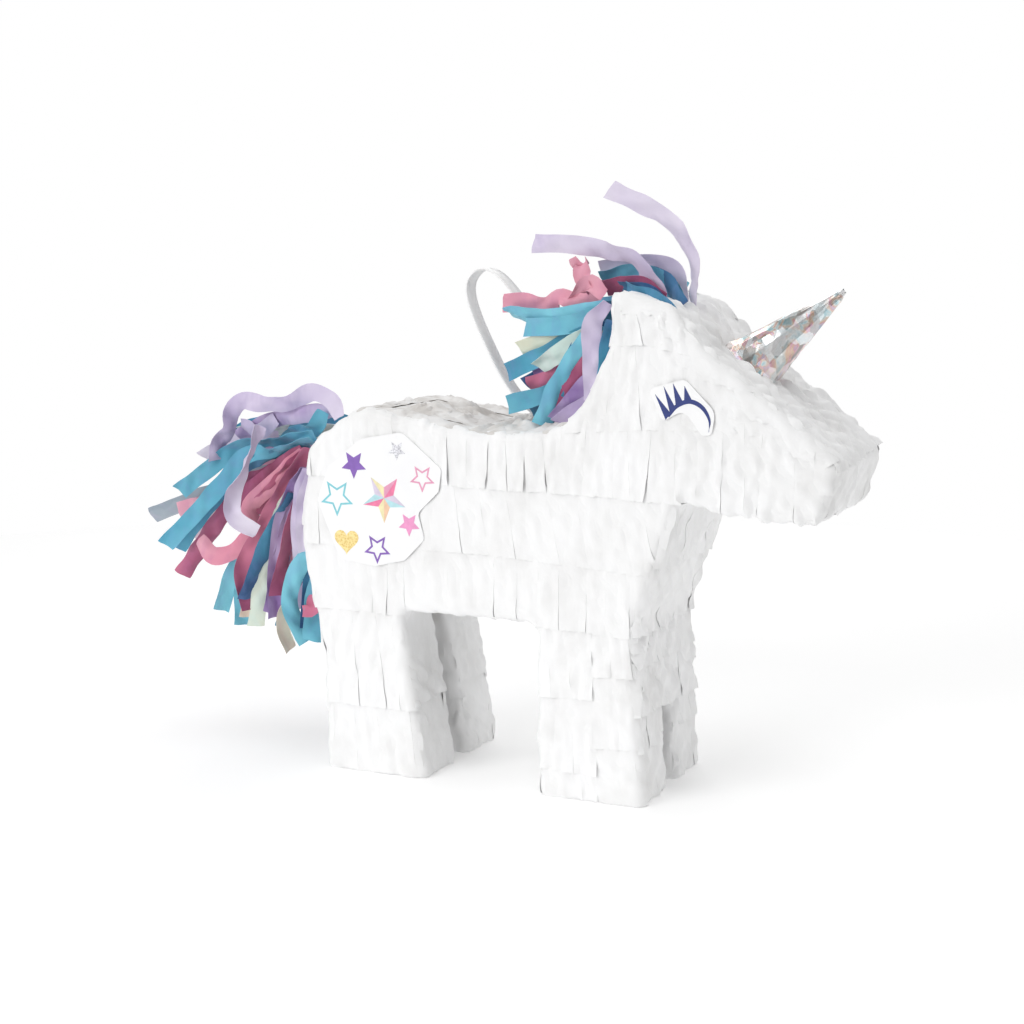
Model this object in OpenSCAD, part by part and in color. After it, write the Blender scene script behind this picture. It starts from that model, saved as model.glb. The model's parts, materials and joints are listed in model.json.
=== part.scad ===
// Small table-top unicorn pinata.
// A carcass of thin card is glued edge to edge and covered with rows of fringed tissue.
// X runs forward to the nose, Y to the unicorn's left, Z up, and the feet stand on z = 0.

/* [Body] */
// Width over the tissue of both sides
body_w = 50; // [44:1:60]
// Height of the belly above the floor
leg_h = 50; // [44:1:56]
// Width of one leg across the body
leg_w = 20.5; // [16:0.5:20.5]
// Thickness of the card
card_t = 1.5; // [1:0.1:1.8]
// Thickness of one layer of fringed tissue
tissue_t = 0.8; // [0.6:0.1:1]

/* [Filling flap] */
// Length of the flap along the back
flap_l = 27; // [18:1:27]
// Width of the flap across the back
flap_w = 30; // [20:1:34]
// Gap round the flap
flap_gap = 0.4; // [0.3:0.1:0.6]

/* [Hanging ribbon] */
// Width of the ribbon
ribbon_w = 6.5; // [4:0.5:6.5]
// Thickness of the ribbon
ribbon_t = 0.8; // [0.6:0.1:1]

/* [Horn] */
// Length of the horn along its axis
horn_l = 32; // [24:1:36]
// Radius of the foil at the foot of the horn
horn_r = 8; // [6:0.5:9]
// Lean of the horn forward from upright
horn_lean = 51; // [44:1:54]

/* [Mane and tail] */
// Width of one cut strip
strip_w = 5.6; // [4:0.2:5.8]
// Thickness of one cut strip
strip_t = 0.9; // [0.6:0.1:1.2]
// Length of the longest tail strip
tail_l = 80.5; // [60:0.5:90]

/* [Stickers] */
// Thickness of a sticker
sticker_t = 0.4; // [0.3:0.1:0.6]

/* [Hidden] */
$fn = 48;

// Colours
tissue_white = [0.93, 0.93, 0.95];
card_brown = [0.66, 0.54, 0.40];
ribbon_white = [0.96, 0.96, 0.96];
foil_silver = [0.78, 0.82, 0.86];
sticker_white = [0.99, 0.99, 0.99];
strip_blue = [0.36, 0.71, 0.84];
strip_lilac = [0.76, 0.68, 0.87];
strip_pink = [0.90, 0.47, 0.63];
strip_pearl = [0.86, 0.87, 0.80];

// Depths under the outer surface of the tissue
card_out = tissue_t;
card_in = tissue_t + card_t;

// Half widths across the body
half_w = body_w / 2;
side_card_y = half_w - card_out;
side_in_y = half_w - card_in;
leg_in_y = half_w - leg_w;
leg_card_y = leg_in_y + tissue_t;
leg_wrap_y = leg_card_y + card_t;

// Heights that hang on the belly
floor_z = leg_h + card_in;
low_seam_z = leg_h + 18;
high_seam_z = leg_h + 36;
neck_seam_z = leg_h + 54;
crown_seam_z = leg_h + 73;

// Outer outline of the tissue in side view, anticlockwise: x, z and corner radius.
// The rear heel comes first, then the sole, the arch, the front leg, the head and the back.
hind_heel = 0;
hind_toe = 1;
hind_arch = 2;
front_arch = 3;
front_heel = 4;
front_toe = 5;
chest_low = 6;
throat = 7;
jaw = 8;
chin = 9;
nose = 10;
brow = 11;
crown = 12;
poll = 13;
nape = 14;
withers = 15;
loin = 16;
croup = 17;
hip = 18;
buttock = 19;
rump_low = 20;
hock = 21;

corners = [
    [-50.3, 0, 1.5],
    [-18.5, 0, 1.5],
    [-26.5, leg_h, 3],
    [17.5, leg_h, 5],
    [18, 0, 1.5],
    [48.5, 0, 1.5],
    [44.8, leg_h, 15],
    [57.5, leg_h + 36.5, 3],
    [70, leg_h + 34, 20],
    [96, leg_h + 32, 5],
    [101, leg_h + 48, 2.5],
    [64, leg_h + 76.5, 14],
    [54.5, leg_h + 87.5, 6],
    [38.5, leg_h + 92, 2.5],
    [38.6, leg_h + 78, 12],
    [27, leg_h + 53, 20],
    [-2, leg_h + 51.8, 36],
    [-38.5, leg_h + 58, 9],
    [-55.5, leg_h + 46.5, 10],
    [-58.8, leg_h + 20, 30],
    [-54.8, leg_h, 15],
    [-51, leg_h - 15, 12]
];
arc_steps = 6;
least_r = 0.3;

// Outline tools
function unit(v) = v / norm(v);
function left_of(v) = [-v.y, v.x];
function turned(v, a) = [v.x * cos(a) - v.y * sin(a), v.x * sin(a) + v.y * cos(a)];
function around(list, i) = list[(i + len(list)) % len(list)];
function flat(c) = [c.x, c.y];
function way_in(c, i) = unit(flat(around(c, i)) - flat(around(c, i - 1)));
function way_out(c, i) = unit(flat(around(c, i + 1)) - flat(around(c, i)));
function turn_at(c, i) = let (a = way_in(c, i), b = way_out(c, i)) atan2(cross(a, b), a * b);

// The corner list moved inwards by depth d, with each radius kept concentric.
function inset(c, d) = [
    for (i = [0 : len(c) - 1])
        let (
            a = left_of(way_in(c, i)),
            b = left_of(way_out(c, i)),
            p = flat(c[i]) + d * (a + b) / (1 + a * b)
        )
        [p.x, p.y, max(c[i].z - sign(turn_at(c, i)) * d, least_r)]
];

// One rounded corner as arc_steps + 1 points.
function rounded_corner(c, i) =
    let (
        angle = turn_at(c, i),
        r = c[i].z,
        side = sign(angle) * r * left_of(way_in(c, i)),
        first = flat(c[i]) - way_in(c, i) * r * tan(abs(angle) / 2)
    )
    [for (k = [0 : arc_steps]) first + side - turned(side, angle * k / arc_steps)];

function rounded(c) = [for (i = [0 : len(c) - 1]) each rounded_corner(c, i)];
function outline(d) = rounded(inset(corners, d));

// The stretch of the outline at depth d from the middle of one corner to the middle of another.
function corner_mid(i) = i * (arc_steps + 1) + arc_steps / 2;
function stretch(d, from, to) =
    let (
        loop = outline(d),
        first = corner_mid(from),
        last = corner_mid(to) + (to < from ? len(loop) : 0)
    )
    [for (i = [first : last]) around(loop, i)];

function reversed(list) = [for (i = [len(list) - 1 : -1 : 0]) list[i]];
function band(d0, d1, from, to) = concat(stretch(d0, from, to), reversed(stretch(d1, from, to)));

// Height of the back's outer surface on its straight run between loin and croup, and before the loin.
function back_z(x) =
    let (
        a = corners[x < corners[loin].x ? croup : loin],
        b = corners[x < corners[loin].x ? loin : withers]
    )
    a.y + (b.y - a.y) * (x - a.x) / (b.x - a.x);

// Cut strips: each is [x, z, heading, turn, length] in side view, and bends at an even rate.
bend_steps = 8;
function strip_radius(s) = s[4] * 180 / (PI * s[3]);
function strip_point(s, h, off) =
    [s.x, s.y]
    + strip_radius(s) * [sin(h) - sin(s[2]), cos(s[2]) - cos(h)]
    + off * [-sin(h), cos(h)];
function strip_edge(s, off) =
    [for (i = [0 : bend_steps]) strip_point(s, s[2] + s[3] * i / bend_steps, off)];
function strip_outline(s) = concat(strip_edge(s, -strip_t / 2), reversed(strip_edge(s, strip_t / 2)));
function longer(s, share) = [s[0], s[1], s[2], s[3], s[4] * share];

// Roots of the mane on the nape and the top of the head, and of the tail on the rump.
mane_drop_blue = [38, leg_h + 83.5, 182, 25, 40];
mane_low_blue = [33.9, leg_h + 69, 192, 22, 33];
mane_crest_blue = [45, leg_h + 91, 140, 60, 28];
mane_low_lilac = [30.7, leg_h + 62.6, 190, 20, 22];
mane_tall_lilac = [50, leg_h + 89.4, 70, 95, 42];
mane_long_lilac = [50, leg_h + 89.4, 120, 70, 51];
mane_drop_pink = [37.8, leg_h + 88.5, 176, 10, 41];
mane_crest_pink = [45, leg_h + 91, 125, 90, 30];
mane_drop_pearl = [37.2, leg_h + 76.5, 188, 24, 34];

tail_high_blue = [-57.6, leg_h + 39, 170, 52, tail_l];
tail_low_blue = [-58, leg_h + 10, 215, 38, 42];
tail_high_lilac = [-56.8, leg_h + 46, 130, 95, 62];
tail_low_lilac = [-57.2, leg_h + 4, 235, 20, 23];
tail_mid_pearl = [-58.8, leg_h + 30, 182, 45, 62];
tail_mid_pink = [-59.2, leg_h + 20, 196, 42, 56];

// Strips lie side by side in lanes across the body, and the lanes differ a little in length.
lane_pitch = strip_w + 0.8;
all_lanes = [-3 : 3];
outer_lanes = [-3, -2, -1, 1, 2, 3];
lane_share = [0.86, 0.97, 0.91, 1, 0.94, 0.88, 0.98];
function lane_y(lane) = lane * lane_pitch;
function in_lane(s, lane) = longer(s, lane_share[lane + 3]);

// The whole part is centred along X between its longest tail strip and the nose.
tail_x = min([for (p = strip_outline(tail_high_blue)) p.x]);
nose_x = max([for (p = outline(0)) p.x]);
centre_x = (tail_x + nose_x) / 2;

// Filling flap, on the straight run of the back
flap_rear_x = -34;
flap_front_x = flap_rear_x + flap_l;

// Hanging ribbon: both ends leave the back through one slit, and the loop leans back.
slit_x = 10;
slit_gap = 0.4;
pivot = [slit_x, back_z(slit_x) + 1.2];
ribbon_route = [
    [-0.6, 0.8], [-4.5, 3.2], [-9, 7], [-14, 13.5], [-18.5, 21.5], [-22.5, 29.5], [-24.7, 36],
    [-24.3, 40.5], [-20.8, 43.5], [-16, 42.2], [-10.5, 37], [-5, 30], [-0.5, 22], [2.2, 14], [2.6, 7],
    [0.6, 0.8]
];
anchor_rear_x = 1;
anchor_front_x = 15;
anchor_t = 1;

// Horn, standing on the face between brow and nose
horn_x = 70.5;
horn_z = leg_h + 76.5 - 28.5 * (horn_x - 64) / 37;
horn_foil_t = 0.8;
horn_core_t = 0.7;
horn_tip_r = 1.2;
horn_flare_r = horn_r + 1.4;
horn_flare_l = 4;
horn_sunk = 9;

// Stickers in side view, as rounded corners
hip_sticker_corners = [
    [-52.5, leg_h + 30.5, 3], [-48.5, leg_h + 40.5, 3], [-38, leg_h + 49, 4], [-24.5, leg_h + 51.5, 3],
    [-12, leg_h + 41.5, 2], [-13, leg_h + 35, 2], [-19.6, leg_h + 28.5, 2], [-17.5, leg_h + 21, 2],
    [-24, leg_h + 14.5, 2], [-33.5, leg_h + 12.2, 3], [-45, leg_h + 13.5, 4]
];
eye_sticker_corners = [
    [49.6, leg_h + 66.2, 1.5], [53.6, leg_h + 57.4, 1.5], [59.5, leg_h + 61, 3], [64.6, leg_h + 54.2, 1.2],
    [67.2, leg_h + 54.4, 1.2], [68.2, leg_h + 60.5, 4], [59.8, leg_h + 69, 2]
];

// Windows in side view that part the rows of tissue on a side
far = 200;
neck_rear_x = 12;
throat_x = corners[throat].x;
function box_window(x0, x1, z0, z1) = [[x0, z0], [x1, z0], [x1, z1], [x0, z1]];
middle_window = box_window(-far, throat_x, low_seam_z, high_seam_z);
high_window = [
    [-far, high_seam_z], [throat_x, high_seam_z], [throat_x, neck_seam_z],
    [neck_rear_x, neck_seam_z], [neck_rear_x, far], [-far, far]
];
cheek_window = box_window(throat_x, far, 0, neck_seam_z);
neck_window = box_window(neck_rear_x, far, neck_seam_z, crown_seam_z);
crown_window = box_window(neck_rear_x, far, crown_seam_z, far);

// A flat piece standing in the side-view plane, from y0 to y1, with the part centred along X.
module plate(y0, y1) {
    translate([-centre_x, y1, 0])
        rotate([90, 0, 0])
            linear_extrude(height = y1 - y0)
                children();
}

// The same piece on the left side, or mirrored onto the right side.
module side_plate(side, y0, y1) {
    if (side > 0)
        plate(y0, y1) children();
    else
        plate(-y1, -y0) children();
}

// A box in the body's own X, used to keep or cut part of a plate.
module block(x0, x1, y0, y1, z0, z1) {
    translate([x0 - centre_x, y0, z0])
        cube([x1 - x0, y1 - y0, z1 - z0]);
}

// A side-view slice between two heights.
module slice(z0, z1) {
    polygon(box_window(-far, far, z0, z1));
}

// Card carcass

module side_panel(side) {
    side_plate(side, side_in_y, side_card_y)
        polygon(outline(card_out));
}

module card_strip(from, to) {
    color(card_brown)
        plate(-side_in_y, side_in_y)
            polygon(band(card_out, card_in, from, to));
}

module right_side_panel() {
    color(card_brown) side_panel(-1);
}

module left_side_panel() {
    color(card_brown) side_panel(1);
}

module flap_hole() {
    block(
        flap_rear_x - flap_gap, flap_front_x + flap_gap,
        -flap_w / 2 - flap_gap, flap_w / 2 + flap_gap,
        leg_h + 45, leg_h + 65
    );
}

module ribbon_slit() {
    block(
        slit_x - ribbon_t - slit_gap, slit_x + ribbon_t + slit_gap,
        -ribbon_w / 2 - slit_gap, ribbon_w / 2 + slit_gap,
        leg_h + 45, leg_h + 60
    );
}

module back_strip() {
    difference() {
        card_strip(withers, croup);
        flap_hole();
        ribbon_slit();
    }
}

module neck_strip() {
    card_strip(poll, withers);
}

module face_strip() {
    card_strip(nose, poll);
}

module muzzle_strip() {
    card_strip(chin, nose);
}

module jaw_strip() {
    card_strip(throat, chin);
}

module chest_strip() {
    card_strip(chest_low, throat);
}

module rump_strip() {
    card_strip(croup, rump_low);
}

module belly_strip() {
    card_strip(hind_arch, front_arch);
}

module belly_floor() {
    color(card_brown)
        plate(-side_in_y, side_in_y)
            intersection() {
                polygon(outline(card_in));
                slice(floor_z, floor_z + card_t);
            }
}

// A leg in side view up to the underside of the belly floor, inside the strips on either side of it.
function leg_side(from, to) =
    let (
        last = stretch(card_in, from, to),
        front_top = last[len(last) - 1],
        rear_top = last[0]
    )
    concat(
        stretch(card_out, from, to),
        [front_top, [front_top.x, floor_z], [rear_top.x, floor_z], rear_top]
    );

// A leg box is one folded card: rear, sole and front, with the inner wall of the leg.
module leg_box(side, from, to) {
    color(card_brown)
        difference() {
            side_plate(side, leg_card_y, side_in_y)
                polygon(leg_side(from, to));
            side_plate(side, leg_wrap_y, side_in_y + card_t)
                polygon(outline(card_in));
        }
}

module front_leg_box(side) {
    leg_box(side, front_arch, chest_low);
}

module hind_leg_box(side) {
    leg_box(side, rump_low, hind_arch);
}

module front_right_leg_box() {
    front_leg_box(-1);
}

module front_left_leg_box() {
    front_leg_box(1);
}

module hind_right_leg_box() {
    hind_leg_box(-1);
}

module hind_left_leg_box() {
    hind_leg_box(1);
}

// Filling flap and ribbon

module flap_area() {
    block(flap_rear_x, flap_front_x, -flap_w / 2, flap_w / 2, leg_h + 45, leg_h + 65);
}

module filling_flap() {
    color(card_brown)
        intersection() {
            card_strip(withers, croup);
            flap_area();
        }
}

module ribbon_anchor() {
    color(card_brown)
        intersection() {
            plate(-ribbon_w, ribbon_w)
                polygon(band(card_in, card_in + anchor_t, withers, croup));
            block(anchor_rear_x, anchor_front_x, -ribbon_w, ribbon_w, leg_h + 40, leg_h + 65);
        }
    color(ribbon_white)
        block(
            slit_x - ribbon_t, slit_x + ribbon_t,
            -ribbon_w / 2, ribbon_w / 2,
            pivot.y - 4.2, pivot.y - 0.2
        );
}

// The ribbon's outline: its route, thickened to each side along the local normal.
function route_way(i) =
    unit(ribbon_route[min(i + 1, len(ribbon_route) - 1)] - ribbon_route[max(i - 1, 0)]);
function route_edge(off) =
    [for (i = [0 : len(ribbon_route) - 1]) pivot + ribbon_route[i] + off * left_of(route_way(i))];

module hanging_ribbon() {
    color(ribbon_white)
        plate(-ribbon_w / 2, ribbon_w / 2)
            polygon(concat(route_edge(ribbon_t / 2), reversed(route_edge(-ribbon_t / 2))));
}

// Tissue on the sides: rows between seams, and a sleeve on each leg

// One row is the part of the side's outline that lies inside a plain window.
module side_row(side, window) {
    color(tissue_white)
        side_plate(side, side_card_y, half_w)
            intersection() {
                polygon(outline(0));
                polygon(window);
            }
}

// The low row stops where the leg sleeves begin.
module low_row(side) {
    color(tissue_white)
        side_plate(side, side_card_y, half_w)
            difference() {
                intersection() {
                    polygon(outline(0));
                    polygon(box_window(-far, far, leg_h - 20, low_seam_z));
                }
                polygon(stretch(0, rump_low, hind_arch));
                polygon(stretch(0, front_arch, chest_low));
            }
}

module right_low_row() {
    low_row(-1);
}

module left_low_row() {
    low_row(1);
}

module right_middle_row() {
    side_row(-1, middle_window);
}

module left_middle_row() {
    side_row(1, middle_window);
}

module right_high_row() {
    side_row(-1, high_window);
}

module left_high_row() {
    side_row(1, high_window);
}

module right_cheek_row() {
    side_row(-1, cheek_window);
}

module left_cheek_row() {
    side_row(1, cheek_window);
}

module right_neck_row() {
    side_row(-1, neck_window);
}

module left_neck_row() {
    side_row(1, neck_window);
}

module right_crown_row() {
    side_row(-1, crown_window);
}

module left_crown_row() {
    side_row(1, crown_window);
}

module leg_tissue(side, from, to) {
    color(tissue_white)
        difference() {
            side_plate(side, leg_in_y, half_w)
                polygon(stretch(0, from, to));
            side_plate(side, leg_card_y, side_card_y)
                polygon(outline(card_out));
        }
}

module front_right_leg_tissue() {
    leg_tissue(-1, front_arch, chest_low);
}

module front_left_leg_tissue() {
    leg_tissue(1, front_arch, chest_low);
}

module hind_right_leg_tissue() {
    leg_tissue(-1, rump_low, hind_arch);
}

module hind_left_leg_tissue() {
    leg_tissue(1, rump_low, hind_arch);
}

// Tissue over the card strips, between the side rows

module edge_tissue(from, to) {
    color(tissue_white)
        plate(-side_card_y, side_card_y)
            polygon(band(0, card_out, from, to));
}

module back_tissue() {
    difference() {
        edge_tissue(withers, croup);
        flap_hole();
        ribbon_slit();
    }
}

module flap_tissue() {
    intersection() {
        edge_tissue(withers, croup);
        flap_area();
    }
}

module nape_tissue() {
    edge_tissue(poll, withers);
}

module face_tissue() {
    edge_tissue(nose, poll);
}

module muzzle_tissue() {
    edge_tissue(chin, nose);
}

module jaw_tissue() {
    edge_tissue(throat, chin);
}

module chest_tissue() {
    edge_tissue(chest_low, throat);
}

module rump_tissue() {
    edge_tissue(croup, rump_low);
}

// Under the belly, and along the roof of the gap between the right and left legs.
module belly_tissue() {
    edge_tissue(hind_arch, front_arch);
    color(tissue_white)
        plate(-leg_in_y, leg_in_y)
            intersection() {
                polygon(outline(card_in));
                slice(floor_z - tissue_t, floor_z);
            }
}

// Horn

module on_face() {
    difference() {
        translate([horn_x - centre_x, 0, horn_z])
            rotate([0, horn_lean, 0])
                translate([0, 0, -horn_sunk])
                    rotate_extrude()
                        children();
        plate(-half_w, half_w)
            polygon(outline(0));
    }
}

// Radius of the foil at height z above the sunk foot.
function foil_r(z) = horn_r + (horn_tip_r - horn_r) * (z - horn_sunk) / horn_l;

module horn_core() {
    color(card_brown)
        on_face()
            polygon([
                [foil_r(0) - horn_foil_t - horn_core_t, 0],
                [foil_r(0) - horn_foil_t, 0],
                [0.1, horn_sunk + horn_l - 2],
                [0, horn_sunk + horn_l - 2],
                [0, horn_sunk + horn_l - 6]
            ]);
}

module horn_foil() {
    color(foil_silver)
        on_face()
            polygon([
                [foil_r(0) - horn_foil_t, 0],
                [horn_flare_r, 0],
                [horn_flare_r, horn_sunk - 2],
                [foil_r(horn_sunk + horn_flare_l), horn_sunk + horn_flare_l],
                [horn_tip_r, horn_sunk + horn_l],
                [0, horn_sunk + horn_l],
                [0, horn_sunk + horn_l - 2],
                [0.1, horn_sunk + horn_l - 2]
            ]);
}

// Stickers

module sticker(side, shape) {
    color(sticker_white)
        side_plate(side, half_w, half_w + sticker_t)
            polygon(rounded(shape));
}

module right_eye_sticker() {
    sticker(-1, reversed(eye_sticker_corners));
}

module left_eye_sticker() {
    sticker(1, reversed(eye_sticker_corners));
}

module right_hip_sticker() {
    sticker(-1, reversed(hip_sticker_corners));
}

module left_hip_sticker() {
    sticker(1, reversed(hip_sticker_corners));
}

// Mane and tail

module cut_strip(s, lane) {
    plate(lane_y(lane) - strip_w / 2, lane_y(lane) + strip_w / 2)
        polygon(strip_outline(s));
}

module lanes_of(s, lanes) {
    for (lane = lanes)
        cut_strip(in_lane(s, lane), lane);
}

module mane_blue() {
    color(strip_blue) {
        lanes_of(mane_drop_blue, outer_lanes);
        lanes_of(mane_low_blue, outer_lanes);
        lanes_of(mane_crest_blue, [-3, -1, 1, 3]);
    }
}

module mane_lilac() {
    color(strip_lilac) {
        lanes_of(mane_low_lilac, outer_lanes);
        cut_strip(mane_tall_lilac, -1);
        cut_strip(mane_long_lilac, 0);
    }
}

module mane_pink() {
    color(strip_pink) {
        lanes_of(mane_drop_pink, outer_lanes);
        lanes_of(mane_crest_pink, [-2, 2]);
    }
}

module mane_pearl() {
    color(strip_pearl)
        lanes_of(mane_drop_pearl, outer_lanes);
}

module tail_blue() {
    color(strip_blue) {
        cut_strip(tail_high_blue, 0);
        lanes_of(tail_high_blue, outer_lanes);
        lanes_of(tail_low_blue, all_lanes);
    }
}

module tail_lilac() {
    color(strip_lilac) {
        lanes_of(tail_high_lilac, [-2, 0, 2]);
        lanes_of(tail_low_lilac, all_lanes);
    }
}

module tail_pink() {
    color(strip_pink)
        lanes_of(tail_mid_pink, all_lanes);
}

module tail_pearl() {
    color(strip_pearl)
        lanes_of(tail_mid_pearl, all_lanes);
}

// One line for each node
right_side_panel();
left_side_panel();
back_strip();
neck_strip();
face_strip();
muzzle_strip();
jaw_strip();
chest_strip();
rump_strip();
belly_strip();
belly_floor();
front_right_leg_box();
front_left_leg_box();
hind_right_leg_box();
hind_left_leg_box();
filling_flap();
ribbon_anchor();
hanging_ribbon();
right_low_row();
right_middle_row();
right_high_row();
right_cheek_row();
right_neck_row();
right_crown_row();
left_low_row();
left_middle_row();
left_high_row();
left_cheek_row();
left_neck_row();
left_crown_row();
front_right_leg_tissue();
front_left_leg_tissue();
hind_right_leg_tissue();
hind_left_leg_tissue();
back_tissue();
flap_tissue();
nape_tissue();
face_tissue();
muzzle_tissue();
jaw_tissue();
chest_tissue();
rump_tissue();
belly_tissue();
horn_core();
horn_foil();
right_eye_sticker();
left_eye_sticker();
right_hip_sticker();
left_hip_sticker();
mane_blue();
mane_lilac();
mane_pink();
mane_pearl();
tail_blue();
tail_lilac();
tail_pink();
tail_pearl();
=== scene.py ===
"""Looks of a small table-top unicorn pinata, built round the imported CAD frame.

Lengths in this script are in millimetres until a piece is made, and its mesh is in metres.
X runs forward to the nose, Y to the unicorn's left and Z up, as in the frame.
"""
import json
import math

import bpy
import numpy as np
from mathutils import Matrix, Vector


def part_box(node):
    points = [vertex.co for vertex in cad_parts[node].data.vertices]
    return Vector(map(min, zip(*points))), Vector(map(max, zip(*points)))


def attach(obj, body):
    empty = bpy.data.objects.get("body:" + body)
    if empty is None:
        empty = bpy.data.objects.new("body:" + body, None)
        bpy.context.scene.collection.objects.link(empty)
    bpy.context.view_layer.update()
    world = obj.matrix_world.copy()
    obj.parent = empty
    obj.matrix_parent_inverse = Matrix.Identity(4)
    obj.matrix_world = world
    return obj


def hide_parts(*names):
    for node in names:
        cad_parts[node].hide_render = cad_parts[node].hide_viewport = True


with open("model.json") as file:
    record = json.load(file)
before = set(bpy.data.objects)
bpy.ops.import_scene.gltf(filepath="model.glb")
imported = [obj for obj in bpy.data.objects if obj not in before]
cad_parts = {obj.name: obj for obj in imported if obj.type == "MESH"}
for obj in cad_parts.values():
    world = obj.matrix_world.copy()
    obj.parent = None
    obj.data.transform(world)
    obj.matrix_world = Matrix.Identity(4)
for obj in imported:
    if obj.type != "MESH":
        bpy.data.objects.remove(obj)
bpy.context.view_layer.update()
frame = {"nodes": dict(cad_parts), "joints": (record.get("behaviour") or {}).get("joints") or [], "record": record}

MM = 0.001
RNG_SEED = 41

# Build of the paper, in millimetres: the fold round the card's edges, the CAD's layer of tissue on the card,
# one sheet of tissue, the room that a sheet leaves above the floor, and the grid cells of shaped tissue
FOLD_R = 2.0
LAYER = 0.8
SHEET_T = 0.14
STRIP_T = 0.1
FOIL_T = 0.12
FLOOR_GAP = 0.16
LEAST_Z = 0.05
FRINGE_CELL = 0.85
UNDERLAY_CELL = 1.6
NARROW_CELL = 1.4
PATCH_CELL = 0.7
SHARP_ANGLE = 50.0
LEAST_FACE = 0.004

# The way the photograph looks at the pinata
CAMERA_AT = Vector((0.22413, -0.46865, 0.15224))
CAMERA_YAW = 24.124
CAMERA_PITCH = 8.395
CAMERA_LENS = 62.07

# Hanging ribbon: both ends leave one slit in the back, and the loop leans to the rear
RIBBON_W = 6.5
RIBBON_T = 0.5
RIBBON_BEVEL = 0.25
RIBBON_ROUTE = [
    (-0.6, 0.8), (-4.5, 3.2), (-9, 7), (-14, 13.5), (-18.5, 21.5), (-22.5, 29.5), (-24.7, 36),
    (-24.3, 40.5), (-20.8, 43.5), (-16, 42.2), (-10.5, 37), (-5, 30), (-0.5, 22), (2.2, 14), (2.6, 7),
    (0.6, 0.8),
]

# Stage: the floor disc in metres, its own glow, and the power of each light in watts
FLOOR_R = 0.5
FLOOR_SIDES = 64
FLOOR_GLOW = 0.2
KEY_POWER = 7.4
TOP_POWER = 5.4
BACK_POWER = 4.0
FRONT_POWER = 1.7
SURROUND_LIGHT = 0.34
LIT_MIDDLE = (0.0, 0.0, 0.08)
WHITE = (1.0, 1.0, 1.0, 1.0)


def set_camera():
    """The camera at the photograph's angle."""
    data = bpy.data.cameras.new("camera")
    data.lens = CAMERA_LENS
    data.sensor_width = 36.0
    data.clip_start = 0.01
    camera = bpy.data.objects.new("camera", data)
    camera.location = CAMERA_AT
    tilt = math.radians(90.0 - CAMERA_PITCH)
    camera.rotation_euler = (tilt, 0.0, math.radians(CAMERA_YAW))
    bpy.context.scene.collection.objects.link(camera)
    bpy.context.scene.camera = camera


def box_mm(node):
    """The lowest and highest corner of a CAD node, in millimetres."""
    low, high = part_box(node)
    return np.array(low) / MM, np.array(high) / MM


def box_end(node, end, axis):
    """Where the box of a CAD node begins (end 0) or ends (end 1) along x, y or z, in millimetres."""
    return round(float(box_mm(node)[end]["xyz".index(axis)]), 3)


HALF_W = box_end("left_low_row", 1, "y")
LEG_INNER_Y = box_end("front_left_leg_tissue", 0, "y")
SEAM_LOW = box_end("left_middle_row", 0, "z")
SEAM_HIGH = box_end("left_high_row", 0, "z")
SEAM_NECK = box_end("left_neck_row", 0, "z")
SEAM_CROWN = box_end("left_crown_row", 0, "z") + 3.0
PIVOTS = {joint["name"]: [round(v / MM, 3) for v in joint["pos_m"]] for joint in frame["joints"]}
SIDES = {"right": -1, "left": 1}


# ---------------------------------------------------------------- meshes

def path_lengths(points):
    """The distance of each point along the path that they make."""
    return np.concatenate([[0.0], np.cumsum(np.linalg.norm(np.diff(points, axis=0), axis=1))])


def unit(vectors):
    """Each vector at length one."""
    return vectors / np.linalg.norm(vectors, axis=-1, keepdims=True)


def smooth_path(points, spacing):
    """A Catmull-Rom curve through the points, with evenly spaced points of its own."""
    p = np.asarray(points, dtype=float)
    p = np.vstack([2 * p[0] - p[1], p, 2 * p[-1] - p[-2]])
    fine = []
    steps = np.linspace(0.0, 1.0, 16, endpoint=False)[:, None]
    for a, b, c, d in zip(p[:-3], p[1:-2], p[2:-1], p[3:]):
        fine.append(
            0.5 * (2 * b + (c - a) * steps + (2 * a - 5 * b + 4 * c - d) * steps ** 2
                   + (3 * b - a - 3 * c + d) * steps ** 3)
        )
    fine = np.vstack([*fine, p[-2][None, :]])
    lengths = path_lengths(fine[:, :3])
    count = max(6, int(lengths[-1] / spacing) + 1)
    at = np.linspace(0.0, lengths[-1], count)
    return np.column_stack([np.interp(at, lengths, column) for column in fine.T]), at


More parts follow.
